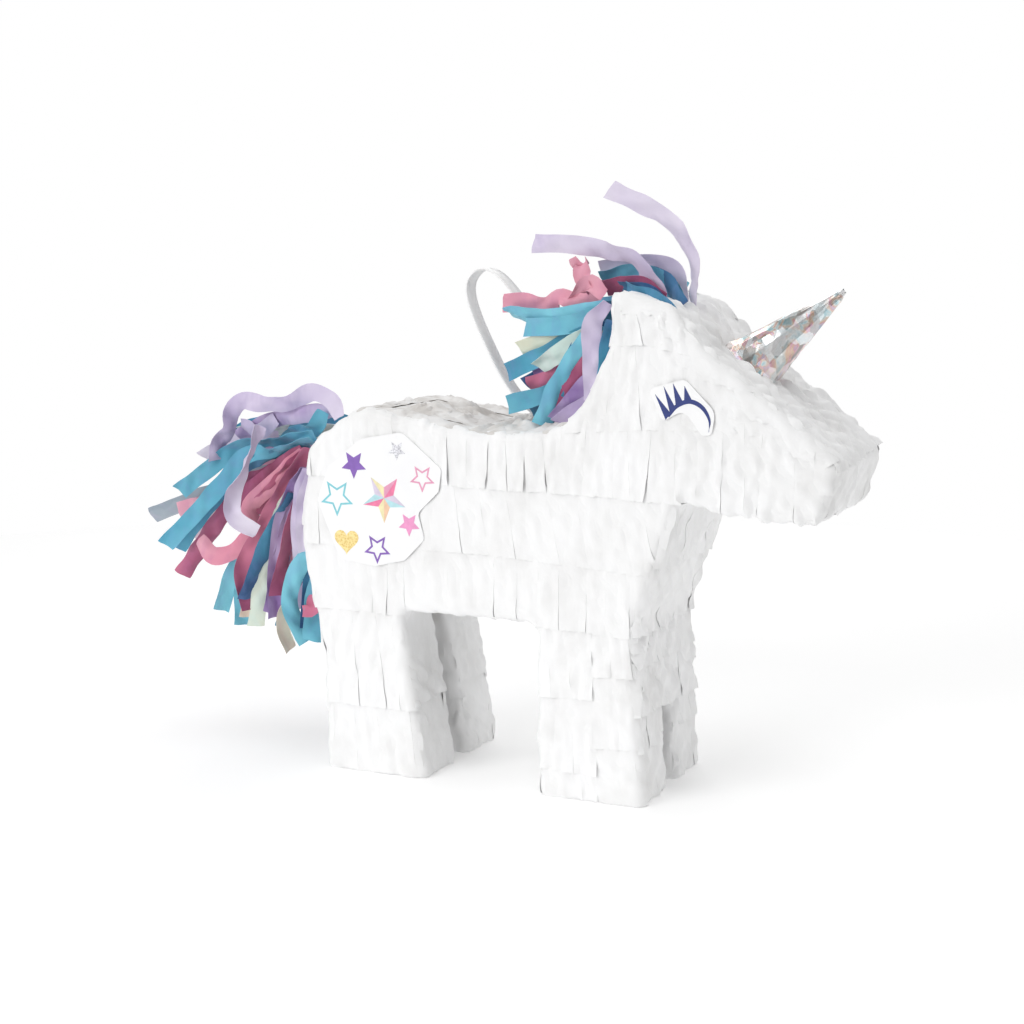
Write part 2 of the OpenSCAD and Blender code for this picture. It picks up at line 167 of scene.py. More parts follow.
class Sheets:
    """Thin sheets of paper gathered into one mesh, in millimetres."""

    def __init__(self):
        self.points = []
        self.faces = []
        self.tints = []
        self.count = 0

    def grid(self, points, tint=0.5):
        """Adds a (rows, columns, 3) grid of points as quads, leaving out those pressed flat."""
        rows, columns = points.shape[:2]
        points[..., 2] = np.maximum(points[..., 2], FLOOR_GAP)
        index = np.arange(rows * columns).reshape(rows, columns) + self.count
        quads = np.stack([index[:-1, :-1], index[:-1, 1:], index[1:, 1:], index[1:, :-1]], axis=-1)
        a = points[1:, 1:] - points[:-1, :-1]
        b = points[1:, :-1] - points[:-1, 1:]
        area = np.linalg.norm(np.cross(a, b), axis=-1) / 2
        self.faces.extend(quads[area > LEAST_FACE].tolist())
        self.points.append(points.reshape(-1, 3))
        self.tints.append(np.full(rows * columns, tint))
        self.count += rows * columns

    def piece(self, name, material, slot, replaces=(), body="body", thickness=SHEET_T, smooth=True):
        """Makes the sheets into one object that rides on a body."""
        points = np.vstack(self.points)
        used = np.unique(np.array(self.faces).ravel())
        renumber = np.full(len(points), -1)
        renumber[used] = np.arange(len(used))
        faces = [[int(renumber[i]) for i in face] for face in self.faces]
        mesh = new_mesh(name, points[used], faces, [material], smooth)
        tint = mesh.attributes.new("tint", "FLOAT", "POINT")
        tint.data.foreach_set("value", np.concatenate(self.tints)[used].astype(np.float32))
        piece = link(name, mesh)
        solid = piece.modifiers.new("thickness", "SOLIDIFY")
        solid.thickness = thickness * MM
        solid.offset = -1.0
        apply_modifiers(piece)
        if smooth:
            piece.data.set_sharp_from_angle(angle=math.radians(SHARP_ANGLE))
        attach(piece, body)
        if replaces:
            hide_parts(*replaces)


def new_mesh(name, points, faces, materials, smooth=False):
    """A mesh with its materials, from points in millimetres."""
    mesh = bpy.data.meshes.new(name)
    mesh.from_pydata((np.array(points) * MM).tolist(), [], faces)
    for material in materials:
        mesh.materials.append(material)
    mesh.polygons.foreach_set("use_smooth", [smooth] * len(mesh.polygons))
    mesh.update()
    return mesh


def link(name, mesh):
    """A new object of that mesh in the scene."""
    piece = bpy.data.objects.new(name, mesh)
    bpy.context.scene.collection.objects.link(piece)
    return piece


def apply_modifiers(piece):
    """Turns the modifiers of a piece into its mesh."""
    graph = bpy.context.evaluated_depsgraph_get()
    mesh = bpy.data.meshes.new_from_object(piece.evaluated_get(graph))
    piece.modifiers.clear()
    old = piece.data
    piece.data = mesh
    mesh.name = old.name
    bpy.data.meshes.remove(old)


# ---------------------------------------------------------------- outline of the card body

# Spacing of the outline's points in millimetres, and how far in metres a corner may lie off its flat face
STEP = 0.8
SAME_FACE = 1e-6


def flat_loop(node):
    """The outline of a flat upright CAD node in side view: an anticlockwise loop of x, z in millimetres."""
    mesh = frame["nodes"][node].data
    face_y = min(v.co.y for v in mesh.vertices)
    uses = {}
    for polygon in mesh.polygons:
        corners = [mesh.vertices[i].co for i in polygon.vertices]
        if max(abs(c.y - face_y) for c in corners) > SAME_FACE:
            continue
        names = [(round(c.x / MM, 3), round(c.z / MM, 3)) for c in corners]
        for pair in zip(names, names[1:] + names[:1]):
            uses[frozenset(pair)] = uses.get(frozenset(pair), 0) + 1
    beside = {}
    for edge, count in uses.items():
        if count == 1:
            a, b = edge
            beside.setdefault(a, []).append(b)
            beside.setdefault(b, []).append(a)
    loop = [min(beside, key=lambda p: (p[1], p[0]))]
    last = None
    while True:
        ahead = [p for p in beside[loop[-1]] if p != last]
        last = loop[-1]
        if ahead[0] == loop[0]:
            break
        loop.append(ahead[0])
    loop = np.array(loop)
    x, z = loop.T
    if np.sum(x * np.roll(z, -1) - np.roll(x, -1) * z) < 0:
        loop = np.roll(loop[::-1], 1, axis=0)
    return loop


def card_outline():
    """The outline of the card body in side view, resampled evenly."""
    loop = flat_loop("right_side_panel")
    closed = np.vstack([loop, loop[:1]])
    lengths = path_lengths(closed)
    at = np.arange(0.0, lengths[-1], STEP)
    return np.column_stack([np.interp(at, lengths, closed[:, k]) for k in (0, 1)])


LOOP = card_outline()
LOOP_N = len(LOOP)
ALONG = unit(np.roll(LOOP, -2, axis=0) - np.roll(LOOP, 2, axis=0))
OUTWARD = np.column_stack([ALONG[:, 1], -ALONG[:, 0]])


# How many points are looked up at once
BATCH = 2000


def nearest(q):
    """For side-view points, the nearest outline point, the way out there, and how far out each lies."""
    foot = np.empty_like(q)
    way = np.empty_like(q)
    out = np.empty(len(q))
    for first in range(0, len(q), BATCH):
        part = q[first:first + BATCH]
        gap = part[:, None, :] - LOOP[None, :, :]
        i = np.argmin((gap ** 2).sum(axis=-1), axis=1)
        slide = np.clip(((part - LOOP[i]) * ALONG[i]).sum(axis=1), -STEP / 2, STEP / 2)
        near = LOOP[i] + ALONG[i] * slide[:, None]
        away = part - near
        side = np.sign((away * OUTWARD[i]).sum(axis=1))
        foot[first:first + BATCH] = near
        way[first:first + BATCH] = OUTWARD[i]
        out[first:first + BATCH] = side * np.linalg.norm(away, axis=1)
    return foot, way, out


def outline_at(x, z):
    """Distance along the outline of its point nearest to x, z."""
    return float(np.argmin(((LOOP - (x, z)) ** 2).sum(axis=1))) * STEP


def crossings(z):
    """Distances along the outline where it crosses the height z, from the rear to the front."""
    above = LOOP[:, 1] > z
    hits = np.nonzero(above != np.roll(above, -1))[0]
    return [float(i) * STEP for i in sorted(hits, key=lambda i: LOOP[i, 0])]


def on_outline(s):
    """The outline point and the way out at distances s along it."""
    i = np.mod(s / STEP, LOOP_N)
    low = np.floor(i).astype(int) % LOOP_N
    high = (low + 1) % LOOP_N
    share = (i - np.floor(i))[..., None]
    point = LOOP[low] * (1 - share) + LOOP[high] * share
    return point, unit(OUTWARD[low] * (1 - share) + OUTWARD[high] * share)


# ---------------------------------------------------------------- laying tissue on the body

# The most that tissue under a sticker stands off the CAD's own tissue
PRESSED_H = 0.45


def side_place(side, centre=0.0, half=HALF_W, pressed=None):
    """Lays tissue on a flat side of the body and folds it round the edge of the card, as far out as a lip."""

    def place(x, z, h, lip):
        shape = x.shape
        q = np.column_stack([x.ravel(), z.ravel()])
        height = h.ravel()
        if pressed is not None:
            height = np.where(pressed(q), np.minimum(height, PRESSED_H), height)
        foot, way, out = nearest(q)
        out = np.minimum(out, lip)
        start = LAYER - FOLD_R
        angle = np.clip((out - start) / FOLD_R, 0.0, math.pi / 2)
        past = np.maximum(out - start - FOLD_R * math.pi / 2, 0.0)
        reach = start + (FOLD_R + height) * np.sin(angle)
        flat = (out <= start)[:, None]
        xz = np.where(flat, q, foot + way * reach[:, None])
        depth = half - FOLD_R + (FOLD_R + height) * np.cos(angle) - past
        z_up = np.maximum(xz[:, 1], LEAST_Z)
        points = np.column_stack([xz[:, 0], centre + side * depth, z_up])
        return points.reshape(*shape, 3)

    return place


def edge_place(y_low, y_high):
    """Lays tissue on the narrow faces that follow the outline, rounded off towards the sides, with no lip."""

    def place(y, s, h, _lip=None):
        point, way = on_outline(s)
        drop = np.zeros_like(y)
        for edge in (y - y_low, y_high - y):
            inside = np.clip(FOLD_R - edge, 0.0, FOLD_R)
            drop = drop + FOLD_R - np.sqrt(FOLD_R ** 2 - inside ** 2)
        xz = point + way * (LAYER + h - drop)[..., None]
        z_up = np.maximum(xz[..., 1], LEAST_Z)
        return np.stack([xz[..., 0], y, z_up], axis=-1)

    return place


def waves(a, b, rng, pitch_a, pitch_b, count=4):
    """Soft random waves, with a mean pitch across and along."""
    total = np.zeros_like(a)
    for _ in range(count):
        turn_a = a / (pitch_a * rng.uniform(0.7, 1.5))
        turn_b = b / (pitch_b * rng.uniform(0.7, 1.5)) * rng.choice([-1, 1])
        total += np.sin(2 * math.pi * (turn_a + turn_b) + rng.uniform(0, 2 * math.pi))
    return total / math.sqrt(count)


def creases(a, b, rng, pitch_a, pitch_b, count=3):
    """Sharp random ridges, from 0 to about 1."""
    total = np.zeros_like(a)
    for _ in range(count):
        turn_a = a / (pitch_a * rng.uniform(0.6, 1.6))
        turn_b = b / (pitch_b * rng.uniform(0.6, 1.6)) * rng.choice([-1, 1])
        bend = 0.25 * np.sin(b / pitch_b * rng.uniform(3, 7) + rng.uniform(0, 6))
        total += (1 - np.abs(np.sin(math.pi * (turn_a + turn_b + bend)))) ** 5
    return total / count


# Wrinkles of hanging tissue: kind, height, pitch across, pitch down, and how many are laid on each other
WRINKLES = [(waves, 0.13, 4.0, 24.0, 4), (creases, 0.42, 8.0, 30.0, 3), (waves, 0.14, 9.0, 8.0, 3)]

# Height of a hem's waves, how ragged it is, how far a slit's edges curl up, and the least height of fringe
HEM_WAVE = 0.16
HEM_RAG = 0.35
SLIT_CURL = 0.55
LEAST_H = 0.02


def hang_tab(sheets, place, top, bottom, rng, gaps, rags, relief_seed, tint, base=0.1, lift=0.35, rough=1.0,
             lip=3.5):
    """One tab of fringe between its two top corners and its two bottom corners.

    A gap is how far that edge draws in at the hem, and is 0 where the slit beside it is still closed.
    Tabs of one row share a relief seed, so their wrinkles run on from one to the next.
    """
    (a0, b0), (a1, b1) = top
    (c0, d0), (c1, d1) = bottom
    d0 = d0 + np.sign(d0 - b0) * rags[0]
    d1 = d1 + np.sign(d1 - b1) * rags[1]
    width = max(abs(c1 - c0), math.hypot(a1 - a0, b1 - b0))
    drop = max(math.hypot(c0 - a0, d0 - b0), math.hypot(c1 - a1, d1 - b1))
    columns = max(4, int(width / FRINGE_CELL) + 1)
    rows = max(6, int(drop / (FRINGE_CELL * 1.25)) + 1)
    v, u = np.meshgrid(np.linspace(0, 1, rows), np.linspace(0, 1, columns), indexing="ij")
    a = (a0 * (1 - u) + a1 * u) * (1 - v) + (c0 * (1 - u) + c1 * u) * v
    b = (b0 * (1 - u) + b1 * u) * (1 - v) + (d0 * (1 - u) + d1 * u) * v
    opening = v ** rng.uniform(1.5, 6.0)
    a = a + np.sign(c1 - c0) * (gaps[0] * (1 - u) - gaps[1] * u) * opening
    hem = HEM_WAVE * waves(u * width, v * 0, rng, 2.5, 1.0)
    b = b + np.sign(d0 - b0) * hem * v ** 3 * (4 * u * (1 - u))
    h = base + lift * v ** 1.6
    for gap, share in ((gaps[0], 1 - u), (gaps[1], u)):
        if gap > 0:
            h = h + rng.uniform(0.0, SLIT_CURL) * share ** 3 * v ** 2
    relief = np.random.default_rng(relief_seed)
    fade = np.clip(v * 4, 0.25, 1.0)
    for kind, height, across, down, count in WRINKLES:
        h = h + rough * fade * height * kind(a, b, relief, across, down, count)
    sheets.grid(place(a, b, np.maximum(h, LEAST_H), lip), tint=tint)


def along_line(line, share):
    """The points at those shares of the way along a line."""
    lengths = path_lengths(line)
    return np.stack([np.interp(share * lengths[-1], lengths, column) for column in line.T], axis=-1)


def fringe(sheets, place, top, bottom, rng, widths=(5.0, 9.0), slant=0.6, open_share=0.4, gap=(0.1, 0.5),
           **looks):
    """A row of fringe between a top line and a bottom line, each a list of (a, b) points."""
    top = np.array(top, dtype=float)
    bottom = np.array(bottom, dtype=float)
    length = path_lengths(bottom)[-1]
    cuts = [0.0]
    while cuts[-1] < length:
        cuts.append(cuts[-1] + rng.uniform(*widths))
    cuts = np.array(cuts) * length / cuts[-1]
    lean = rng.uniform(-slant, slant, len(cuts))
    rags = rng.uniform(-HEM_RAG, HEM_RAG, len(cuts))
    is_open = rng.random(len(cuts)) < open_share
    gaps = np.where(is_open, rng.uniform(*gap, len(cuts)), 0.0) / 2
    relief_seed = int(rng.integers(1 << 30))
    tint = rng.uniform(0, 1)
    heads = along_line(top, cuts / length)
    hems = along_line(bottom, np.clip((cuts + lean) / length, 0, 1))
    for i in range(len(cuts) - 1):
        if is_open[i]:
            tint = rng.uniform(0, 1)
        hang_tab(sheets, place, heads[i:i + 2], hems[i:i + 2], rng, gaps[i:i + 2], rags[i:i + 2],
                 relief_seed, tint, **looks)


def underlay(sheets, place, top, bottom, rng, lip=4.0, cell=UNDERLAY_CELL):
    """The unbroken tissue behind a row of fringe."""
    top = np.array(top, dtype=float)
    bottom = np.array(bottom, dtype=float)
    drop = max(np.linalg.norm(bottom[0] - top[0]), np.linalg.norm(bottom[-1] - top[-1]))
    share = np.linspace(0, 1, max(4, int(path_lengths(bottom)[-1] / cell)))
    v = np.linspace(0, 1, max(4, int(drop / cell)))[:, None, None]
    ab = along_line(top, share)[None] * (1 - v) + along_line(bottom, share)[None] * v
    a, b = ab[..., 0], ab[..., 1]
    h = 0.06 + 0.05 * waves(a, b, rng, 7.0, 30.0)
    sheets.grid(place(a, b, np.maximum(h, 0.0), lip), tint=rng.uniform(0, 1))


def tiers(marks):
    """Each mark with the next one, last pair first, so that upper rows are made after lower ones."""
    return reversed(list(zip(marks, marks[1:])))


# ---------------------------------------------------------------- materials

class Nodes:
    """A material's node tree, built up a node at a time."""

    def __init__(self, name):
        self.material = bpy.data.materials.new(name)
        self.material.use_nodes = True
        self.tree = self.material.node_tree
        self.shader = self.tree.nodes["Principled BSDF"]
        self.place = self.add("ShaderNodeTexCoord")

    def add(self, kind, inputs=None, **settings):
        """A new node of that kind, with its settings made and its inputs fed."""
        node = self.tree.nodes.new(kind)
        for key, value in settings.items():
            setattr(node, key, value)
        for key, value in (inputs or {}).items():
            self.feed(node, key, value)
        return node

    def feed(self, node, key, value):
        """Links a socket to an input, or writes a plain value into it."""
        if isinstance(value, bpy.types.NodeSocket):
            self.tree.links.new(value, node.inputs[key])
        else:
            node.inputs[key].default_value = value

    def coords(self, scales):
        """Object coordinates stretched by a scale per axis, in repeats per metre."""
        mapping = self.add("ShaderNodeMapping", {"Vector": self.place.outputs["Object"], "Scale": scales})
        return mapping.outputs["Vector"]

    def noise(self, scale, detail=3.0, rough=0.5, warp=0.0):
        """Noise with one scale for all axes, or one for each."""
        scales = scale if isinstance(scale, tuple) else (scale, scale, scale)
        node = self.add("ShaderNodeTexNoise", {
            "Vector": self.coords(scales),
            "Scale": 1.0,
            "Detail": detail,
            "Roughness": rough,
            "Distortion": warp,
        })
        return node.outputs["Fac"]

    def ramp(self, value, stops):
        """The colour that belongs to a value, between (value, colour) stops."""
        node = self.add("ShaderNodeValToRGB", {"Fac": value})
        bar = node.color_ramp
        while len(bar.elements) < len(stops):
            bar.elements.new(0.5)
        for element, (at, colour) in zip(bar.elements, stops):
            element.position = at
            element.color = (*colour, 1.0)
        return node.outputs["Color"]

    def mottle(self, scale, low, high, detail=2.0):
        """A noise, and a colour that drifts with it from low to high."""
        noise = self.noise(scale, detail=detail)
        return noise, self.ramp(noise, [(0.3, low), (0.7, high)])

    def maths(self, operation, a, b=0.0):
        """The result of one operation on two numbers."""
        return self.add("ShaderNodeMath", {0: a, 1: b}, operation=operation).outputs[0]

    def mix(self, share, a, b, blend="MIX"):
        """Colour a with that share of colour b mixed in."""
        node = self.add("ShaderNodeMix", data_type="RGBA", blend_type=blend)
        self.feed(node, 0, share)
        self.feed(node, 6, a if isinstance(a, bpy.types.NodeSocket) else (*a, 1.0))
        self.feed(node, 7, b if isinstance(b, bpy.types.NodeSocket) else (*b, 1.0))
        return node.outputs[2]

    def tint(self):
        """The tint that each sheet was given, from 0 to 1."""
        return self.add("ShaderNodeAttribute", attribute_name="tint").outputs["Fac"]

    def bump(self, heights, distance=0.0002):
        """Bumps laid one on the other, each a (height, strength) pair."""
        normal = None
        for height, strength in heights:
            inputs = {"Height": height, "Strength": strength, "Distance": distance}
            if normal:
                inputs["Normal"] = normal
            normal = self.add("ShaderNodeBump", inputs).outputs["Normal"]
        return normal

    def surface(self, **inputs):
        """Feeds the shader's inputs, with _ for each space in their names, and gives the material."""
        for key, value in inputs.items():
            self.feed(self.shader, key.replace("_", " "), value)
        return self.material


def tissue_material(name, shade_and_board_share=0.0):
    """White crepe tissue with fine upright crinkles and a faint mottle; with a share given, grey-beige blotches of
    painted shade darken it, partly standing for the board showing through thin tissue.
    """
    n = Nodes(name)
    mottle = n.noise((55.0, 55.0, 40.0), detail=4.0, rough=0.6)
    grain = n.noise((900.0, 900.0, 120.0), detail=3.0, rough=0.65)
    crinkle = n.noise((420.0, 420.0, 60.0), detail=2.0, warp=0.4)
    white = n.ramp(mottle, [
        (0.25, (0.80, 0.795, 0.79)), (0.5, (0.90, 0.90, 0.90)), (0.7, (0.93, 0.93, 0.935)),
    ])
    # Painted shade: these blotches darken the tissue as if it lay in shade, and in part stand for the board
    # showing through.
    thin = n.ramp(n.noise(130.0, detail=3.0, warp=0.8),
                  [(0.40, (0.3, 0.3, 0.3)), (0.62, (1.0, 1.0, 1.0))])
    white = n.mix(n.maths("MULTIPLY", thin, shade_and_board_share), white, (0.52, 0.48, 0.44))
    colour = n.mix(n.maths("MULTIPLY", n.tint(), 0.10), white, (0.80, 0.80, 0.80))
    roughness = n.maths("MULTIPLY_ADD", grain, 0.12)
    normal = n.bump([(crinkle, 0.45), (grain, 0.35)], 0.00022)
    return n.surface(Base_Color=colour, Roughness=n.maths("ADD", roughness, 0.78), Normal=normal,
                     Sheen_Weight=0.15, Sheen_Roughness=0.6)


def card_material():
    """Brown board with short pulp fibres."""
    n = Nodes("brown_card")
    pulp = n.noise(700.0, detail=5.0, rough=0.7)
    blotch = n.noise(60.0, detail=2.0)
    fibre = n.ramp(pulp, [(0.3, (0.30, 0.20, 0.12)), (0.6, (0.47, 0.34, 0.22)), (0.8, (0.60, 0.47, 0.33))])
    colour = n.mix(n.maths("MULTIPLY", blotch, 0.3), fibre, (0.55, 0.42, 0.28))
    return n.surface(Base_Color=colour, Roughness=0.9, Normal=n.bump([(pulp, 0.4)], 0.0002))


def strip_material(name, deep, middle, pale, glow):
    """Thin cut tissue: its tint picks the shade, and a slow drift of colour runs along it."""
    n = Nodes(name)
    drift = n.noise(38.0, detail=2.0, rough=0.5, warp=0.6)
    grain = n.noise(800.0, detail=3.0, rough=0.7)
    fold = n.noise((210.0, 210.0, 90.0), detail=2.0, warp=1.0)
    shade = n.maths("ADD", n.tint(), n.maths("MULTIPLY", n.maths("SUBTRACT", drift, 0.5), 1.1))
    colour = n.ramp(shade, [(0.0, deep), (0.45, middle), (0.95, pale)])
    streak = n.ramp(fold, [(0.45, (0.0, 0.0, 0.0)), (0.75, (1.0, 1.0, 1.0))])
    colour = n.mix(n.maths("MULTIPLY", streak, 0.28), colour, glow)
    normal = n.bump([(fold, 0.45), (grain, 0.25)], 0.0002)
    return n.surface(Base_Color=colour, Roughness=0.62, Normal=normal, Sheen_Weight=0.25,
                     Sheen_Roughness=0.5, Specular_IOR_Level=0.35)


def pearl_material():
    """Pearly film that drifts between cream, mint, pink and mauve."""
    n = Nodes("pearl_film")
    drift = n.noise((70.0, 70.0, 50.0), detail=2.0, warp=1.2)
    fold = n.noise((260.0, 260.0, 120.0), detail=2.0, warp=0.8)
    shade = n.maths("ADD", n.maths("MULTIPLY", n.tint(), 0.8), n.maths("MULTIPLY", drift, 0.35))
    colour = n.ramp(shade, [
        (0.20, (0.30, 0.36, 0.42)), (0.36, (0.56, 0.42, 0.66)), (0.48, (0.88, 0.70, 0.58)),
        (0.60, (0.80, 0.80, 0.62)), (0.75, (0.62, 0.78, 0.72)), (0.9, (0.85, 0.87, 0.84)),
    ])
    return n.surface(Base_Color=colour, Roughness=0.28, Normal=n.bump([(fold, 0.5)], 0.0003),
                     Coat_Weight=0.4, Coat_Roughness=0.15, Specular_IOR_Level=0.6)


def foil_material():
    """Crumpled silver foil: facets painted dark and bright as reflections and highlights, with rainbow streaks on
    some of them.
    """
    n = Nodes("rainbow_foil")
    cells = n.add("ShaderNodeTexVoronoi", {"Vector": n.coords((310.0, 310.0, 220.0)), "Scale": 1.0},
                  distance="MANHATTAN")
    cell = n.add("ShaderNodeSeparateColor", {"Color": cells.outputs["Color"]})
    drift = n.noise((150.0, 150.0, 110.0), detail=2.0, warp=2.0)
    fine = n.noise(520.0, detail=3.0, warp=1.0)
    tone = n.maths("ADD", n.maths("MULTIPLY", cell.outputs[0], 0.75), n.maths("MULTIPLY", fine, 0.25))
    # Painted reflection: dark and bright facets in the colour stand for what the foil reflects, the brightest as
    # painted highlights.
    painted_reflection = n.ramp(tone, [
        (0.20, (0.36, 0.35, 0.34)), (0.34, (0.56, 0.57, 0.58)), (0.48, (0.72, 0.76, 0.78)),
        (0.70, (0.88, 0.90, 0.91)),
    ])
    rainbow = n.ramp(drift, [
        (0.30, (0.25, 0.62, 0.74)), (0.40, (0.55, 0.78, 0.82)), (0.47, (0.90, 0.90, 0.86)),
        (0.53, (0.92, 0.62, 0.42)), (0.59, (0.86, 0.42, 0.50)), (0.66, (0.70, 0.62, 0.80)),
        (0.76, (0.40, 0.62, 0.80)),
    ])
    amount = n.ramp(cell.outputs[1], [(0.35, (0.08, 0.08, 0.08)), (0.75, (0.75, 0.75, 0.75))])
    colour = n.mix(amount, painted_reflection, n.mix(0.45, rainbow, painted_reflection, "MULTIPLY"))
    normal = n.bump([(cells.outputs["Distance"], 0.12), (fine, 0.05)], 0.0002)
    return n.surface(Base_Color=colour, Metallic=0.75, Roughness=0.25, Normal=normal)


def satin_material():
    """White satin ribbon, a little streaky along its length: the streaks are a painted sheen, and also a faint
    bump.
    """
    n = Nodes("white_satin")
    # Painted sheen: lengthwise streaks lighten the colour as satin's sheen would.
    slub_and_sheen, colour = n.mottle((50.0, 260.0, 50.0), (0.93, 0.93, 0.925), (0.97, 0.97, 0.97), detail=1.0)
    return n.surface(Base_Color=colour, Roughness=0.5, Normal=n.bump([(slub_and_sheen, 0.1)], 0.0001),
                     Sheen_Weight=0.8, Sheen_Roughness=0.4, Sheen_Tint=WHITE)


def label_material():
    """Smooth white label paper."""
    n = Nodes("label_white")
    mottle, colour = n.mottle(90.0, (0.90, 0.90, 0.91), (0.94, 0.94, 0.94))
    return n.surface(Base_Color=colour, Roughness=0.42, Normal=n.bump([(mottle, 0.08)], 0.0002),
                     Coat_Weight=0.1, Coat_Roughness=0.3)


def ink_material(name, colour):
    """Printed ink, very slightly uneven."""
    n = Nodes(name)
    dark = tuple(c * 0.86 for c in colour)
    return n.surface(Base_Color=n.mottle(700.0, dark, colour)[1], Roughness=0.4)


def leaf_material(name, dark, bright, scale, metal):
    """Sparkling print: metal leaf or glitter."""
    n = Nodes(name)
    grain = n.add("ShaderNodeTexVoronoi", {"Vector": n.coords((scale, scale, scale)), "Scale": 1.0})
    streak = n.noise((300.0, 300.0, 900.0), detail=3.0, warp=1.0)
    value = n.maths("ADD", n.maths("MULTIPLY", grain.outputs["Distance"], 0.7),
                    n.maths("MULTIPLY", streak, 0.5))
    colour = n.ramp(value, [(0.3, dark), (0.75, bright)])
    return n.surface(Base_Color=colour, Metallic=metal, Roughness=0.4,
                     Normal=n.bump([(grain.outputs["Distance"], 0.3)], 0.0002))


def floor_material():
    """Plain pale floor."""
    n = Nodes("pale_floor")
    colour = n.mottle(6.0, (0.88, 0.88, 0.88), (0.90, 0.90, 0.90))[1]
    return n.surface(Base_Color=colour, Roughness=0.8, Emission_Color=WHITE,
                     Emission_Strength=FLOOR_GLOW)


# ---------------------------------------------------------------- rows of tissue on the two sides

# How far past a sticker's edge the tissue is pressed
PRESS_MARGIN = 1.1


def in_polygon(q, loop):
    """Which side-view points lie inside a closed loop of points."""
    x, z = q[:, 0], q[:, 1]
    inside = np.zeros(len(q), dtype=bool)
    for (x0, z0), (x1, z1) in zip(loop, np.roll(loop, -1, axis=0)):
        spans = (z0 > z) != (z1 > z)
        with np.errstate(divide="ignore", invalid="ignore"):
            reach = x0 + (z - z0) * (x1 - x0) / (z1 - z0)
        inside ^= spans & (x < reach)
    return inside


def sticker_press(side_name):
    """Tells which side-view points lie under a sticker, where the tissue is pressed flat."""
    loops = [flat_loop(f"{side_name}_{kind}_sticker") for kind in ("hip", "eye")]

    def pressed(q):
        under = np.zeros(len(q), dtype=bool)
        for loop in loops:
            for turn in np.linspace(0, 2 * math.pi, 8, endpoint=False):
                under |= in_polygon(q + PRESS_MARGIN * np.array([math.cos(turn), math.sin(turn)]), loop)
        return under

    return pressed


# How far past the rear and the front a row is laid out before it's cut off at its lip
OVERHANG = 7.0


def side_rows(side_name, tissue):
    """The rows of fringe on one side of the body and head, from the belly up.

    Each row has its top line, its hem and its looks, with points x, z.
    """
    side = SIDES[side_name]
    rng = np.random.default_rng(RNG_SEED + side)
    place = side_place(side, pressed=sticker_press(side_name))
    rear = box_mm("rump_tissue")[0][0]
    front = box_mm("chest_tissue")[1][0]
    nose = box_mm("muzzle_tissue")[1][0]
    rows = {
        "low": (
            [(rear - OVERHANG, SEAM_LOW + 3), (front + OVERHANG, SEAM_LOW + 3)],
            [(rear - OVERHANG, 48.6), (-9.0, 48.4), (30.0, 49.0), (front + OVERHANG, 46.5)],
            {"widths": (4.5, 11.0), "open_share": 0.5, "gap": (0.08, 0.4), "lift": 0.3, "rough": 1.25},
        ),
        "middle": (
            [(rear - OVERHANG, SEAM_HIGH + 3), (front - 1.0, SEAM_HIGH + 2)],
            [(rear - OVERHANG, SEAM_LOW - 0.4), (10.0, SEAM_LOW), (front + OVERHANG - 2, SEAM_LOW - 3.0)],
            {"widths": (6.0, 15.0), "open_share": 0.45, "gap": (0.08, 0.35), "lift": 0.3, "rough": 1.15},
        ),
        "high": (
            [(rear - OVERHANG, 113.0), (-14.0, 114.0), (28.0, 109.0), (front + 3, 108.0)],
            [(rear - OVERHANG, SEAM_HIGH + 1.5), (-5.0, SEAM_HIGH + 1), (front + 2.5, SEAM_HIGH - 0.5)],
            {"widths": (3.5, 8.5), "slant": 2.8, "open_share": 0.55, "gap": (0.1, 1.1), "rough": 1.5},
        ),
        "cheek": (
            [(front - 1.5, 111.0), (nose + 2, 105.0)],
            [(front - 1.8, 88.0), (79.0, 84.4), (88.0, 82.2), (nose + 1, 79.8)],
            {"widths": (4.5, 11.0), "slant": 2.0, "open_share": 0.5, "gap": (0.1, 0.6), "rough": 2.4,
             "lift": 0.2},
        ),
        "neck": (
            [(49.5, SEAM_CROWN + 4), (87.0, SEAM_CROWN + 4)],
            [(40.5, SEAM_NECK - 0.5), (70.0, SEAM_NECK + 1.0), (97.0, SEAM_NECK + 1.5), (nose + 1, 102.0)],
            {"widths": (8.0, 18.0), "slant": 1.6, "open_share": 0.1, "gap": (0.05, 0.2), "rough": 1.3,
             "lift": 0.08},
        ),
        "crown": (
            [(52.0, 145.5), (74.0, 143.5)],
            [(49.0, SEAM_CROWN + 0.5), (62.0, SEAM_CROWN + 2.0), (90.0, SEAM_CROWN - 4.0)],
            {"widths": (8.0, 13.0), "slant": 1.2, "open_share": 0.35, "gap": (0.1, 0.5), "rough": 1.8,
             "lift": 0.2},
        ),
    }
    for name, (top, bottom, looks) in rows.items():
        sheets = Sheets()
        underlay(sheets, place, top, bottom, rng)
        fringe(sheets, place, top, bottom, rng, **looks)
        node = f"{side_name}_{name}_row"
        sheets.piece(f"{node}_fringe", tissue, "tissue", replaces=[node])


# ---------------------------------------------------------------- legs

# Which crossings of the outline are a leg's rear and front, and the heights of the seams on front and rear
LEG_LANES = {"hind": (0, 1), "front": (2, 3)}
LEG_END_SEAMS = {"hind": [22.0], "front": [44.0, 33.0, 16.0]}
LEG_REAR_SEAMS = [33.0, 15.0]

# The outline is read between these heights, and rows run this far past it and fold over as far as the lip
LEG_LOW_Z = 2.0
LEG_HIGH_Z = 48.0
LEG_OVER = 3.2
LEG_LIP = 3.0

# How much of a row is hidden behind the row above it
HIDDEN_HEAD = 2.0


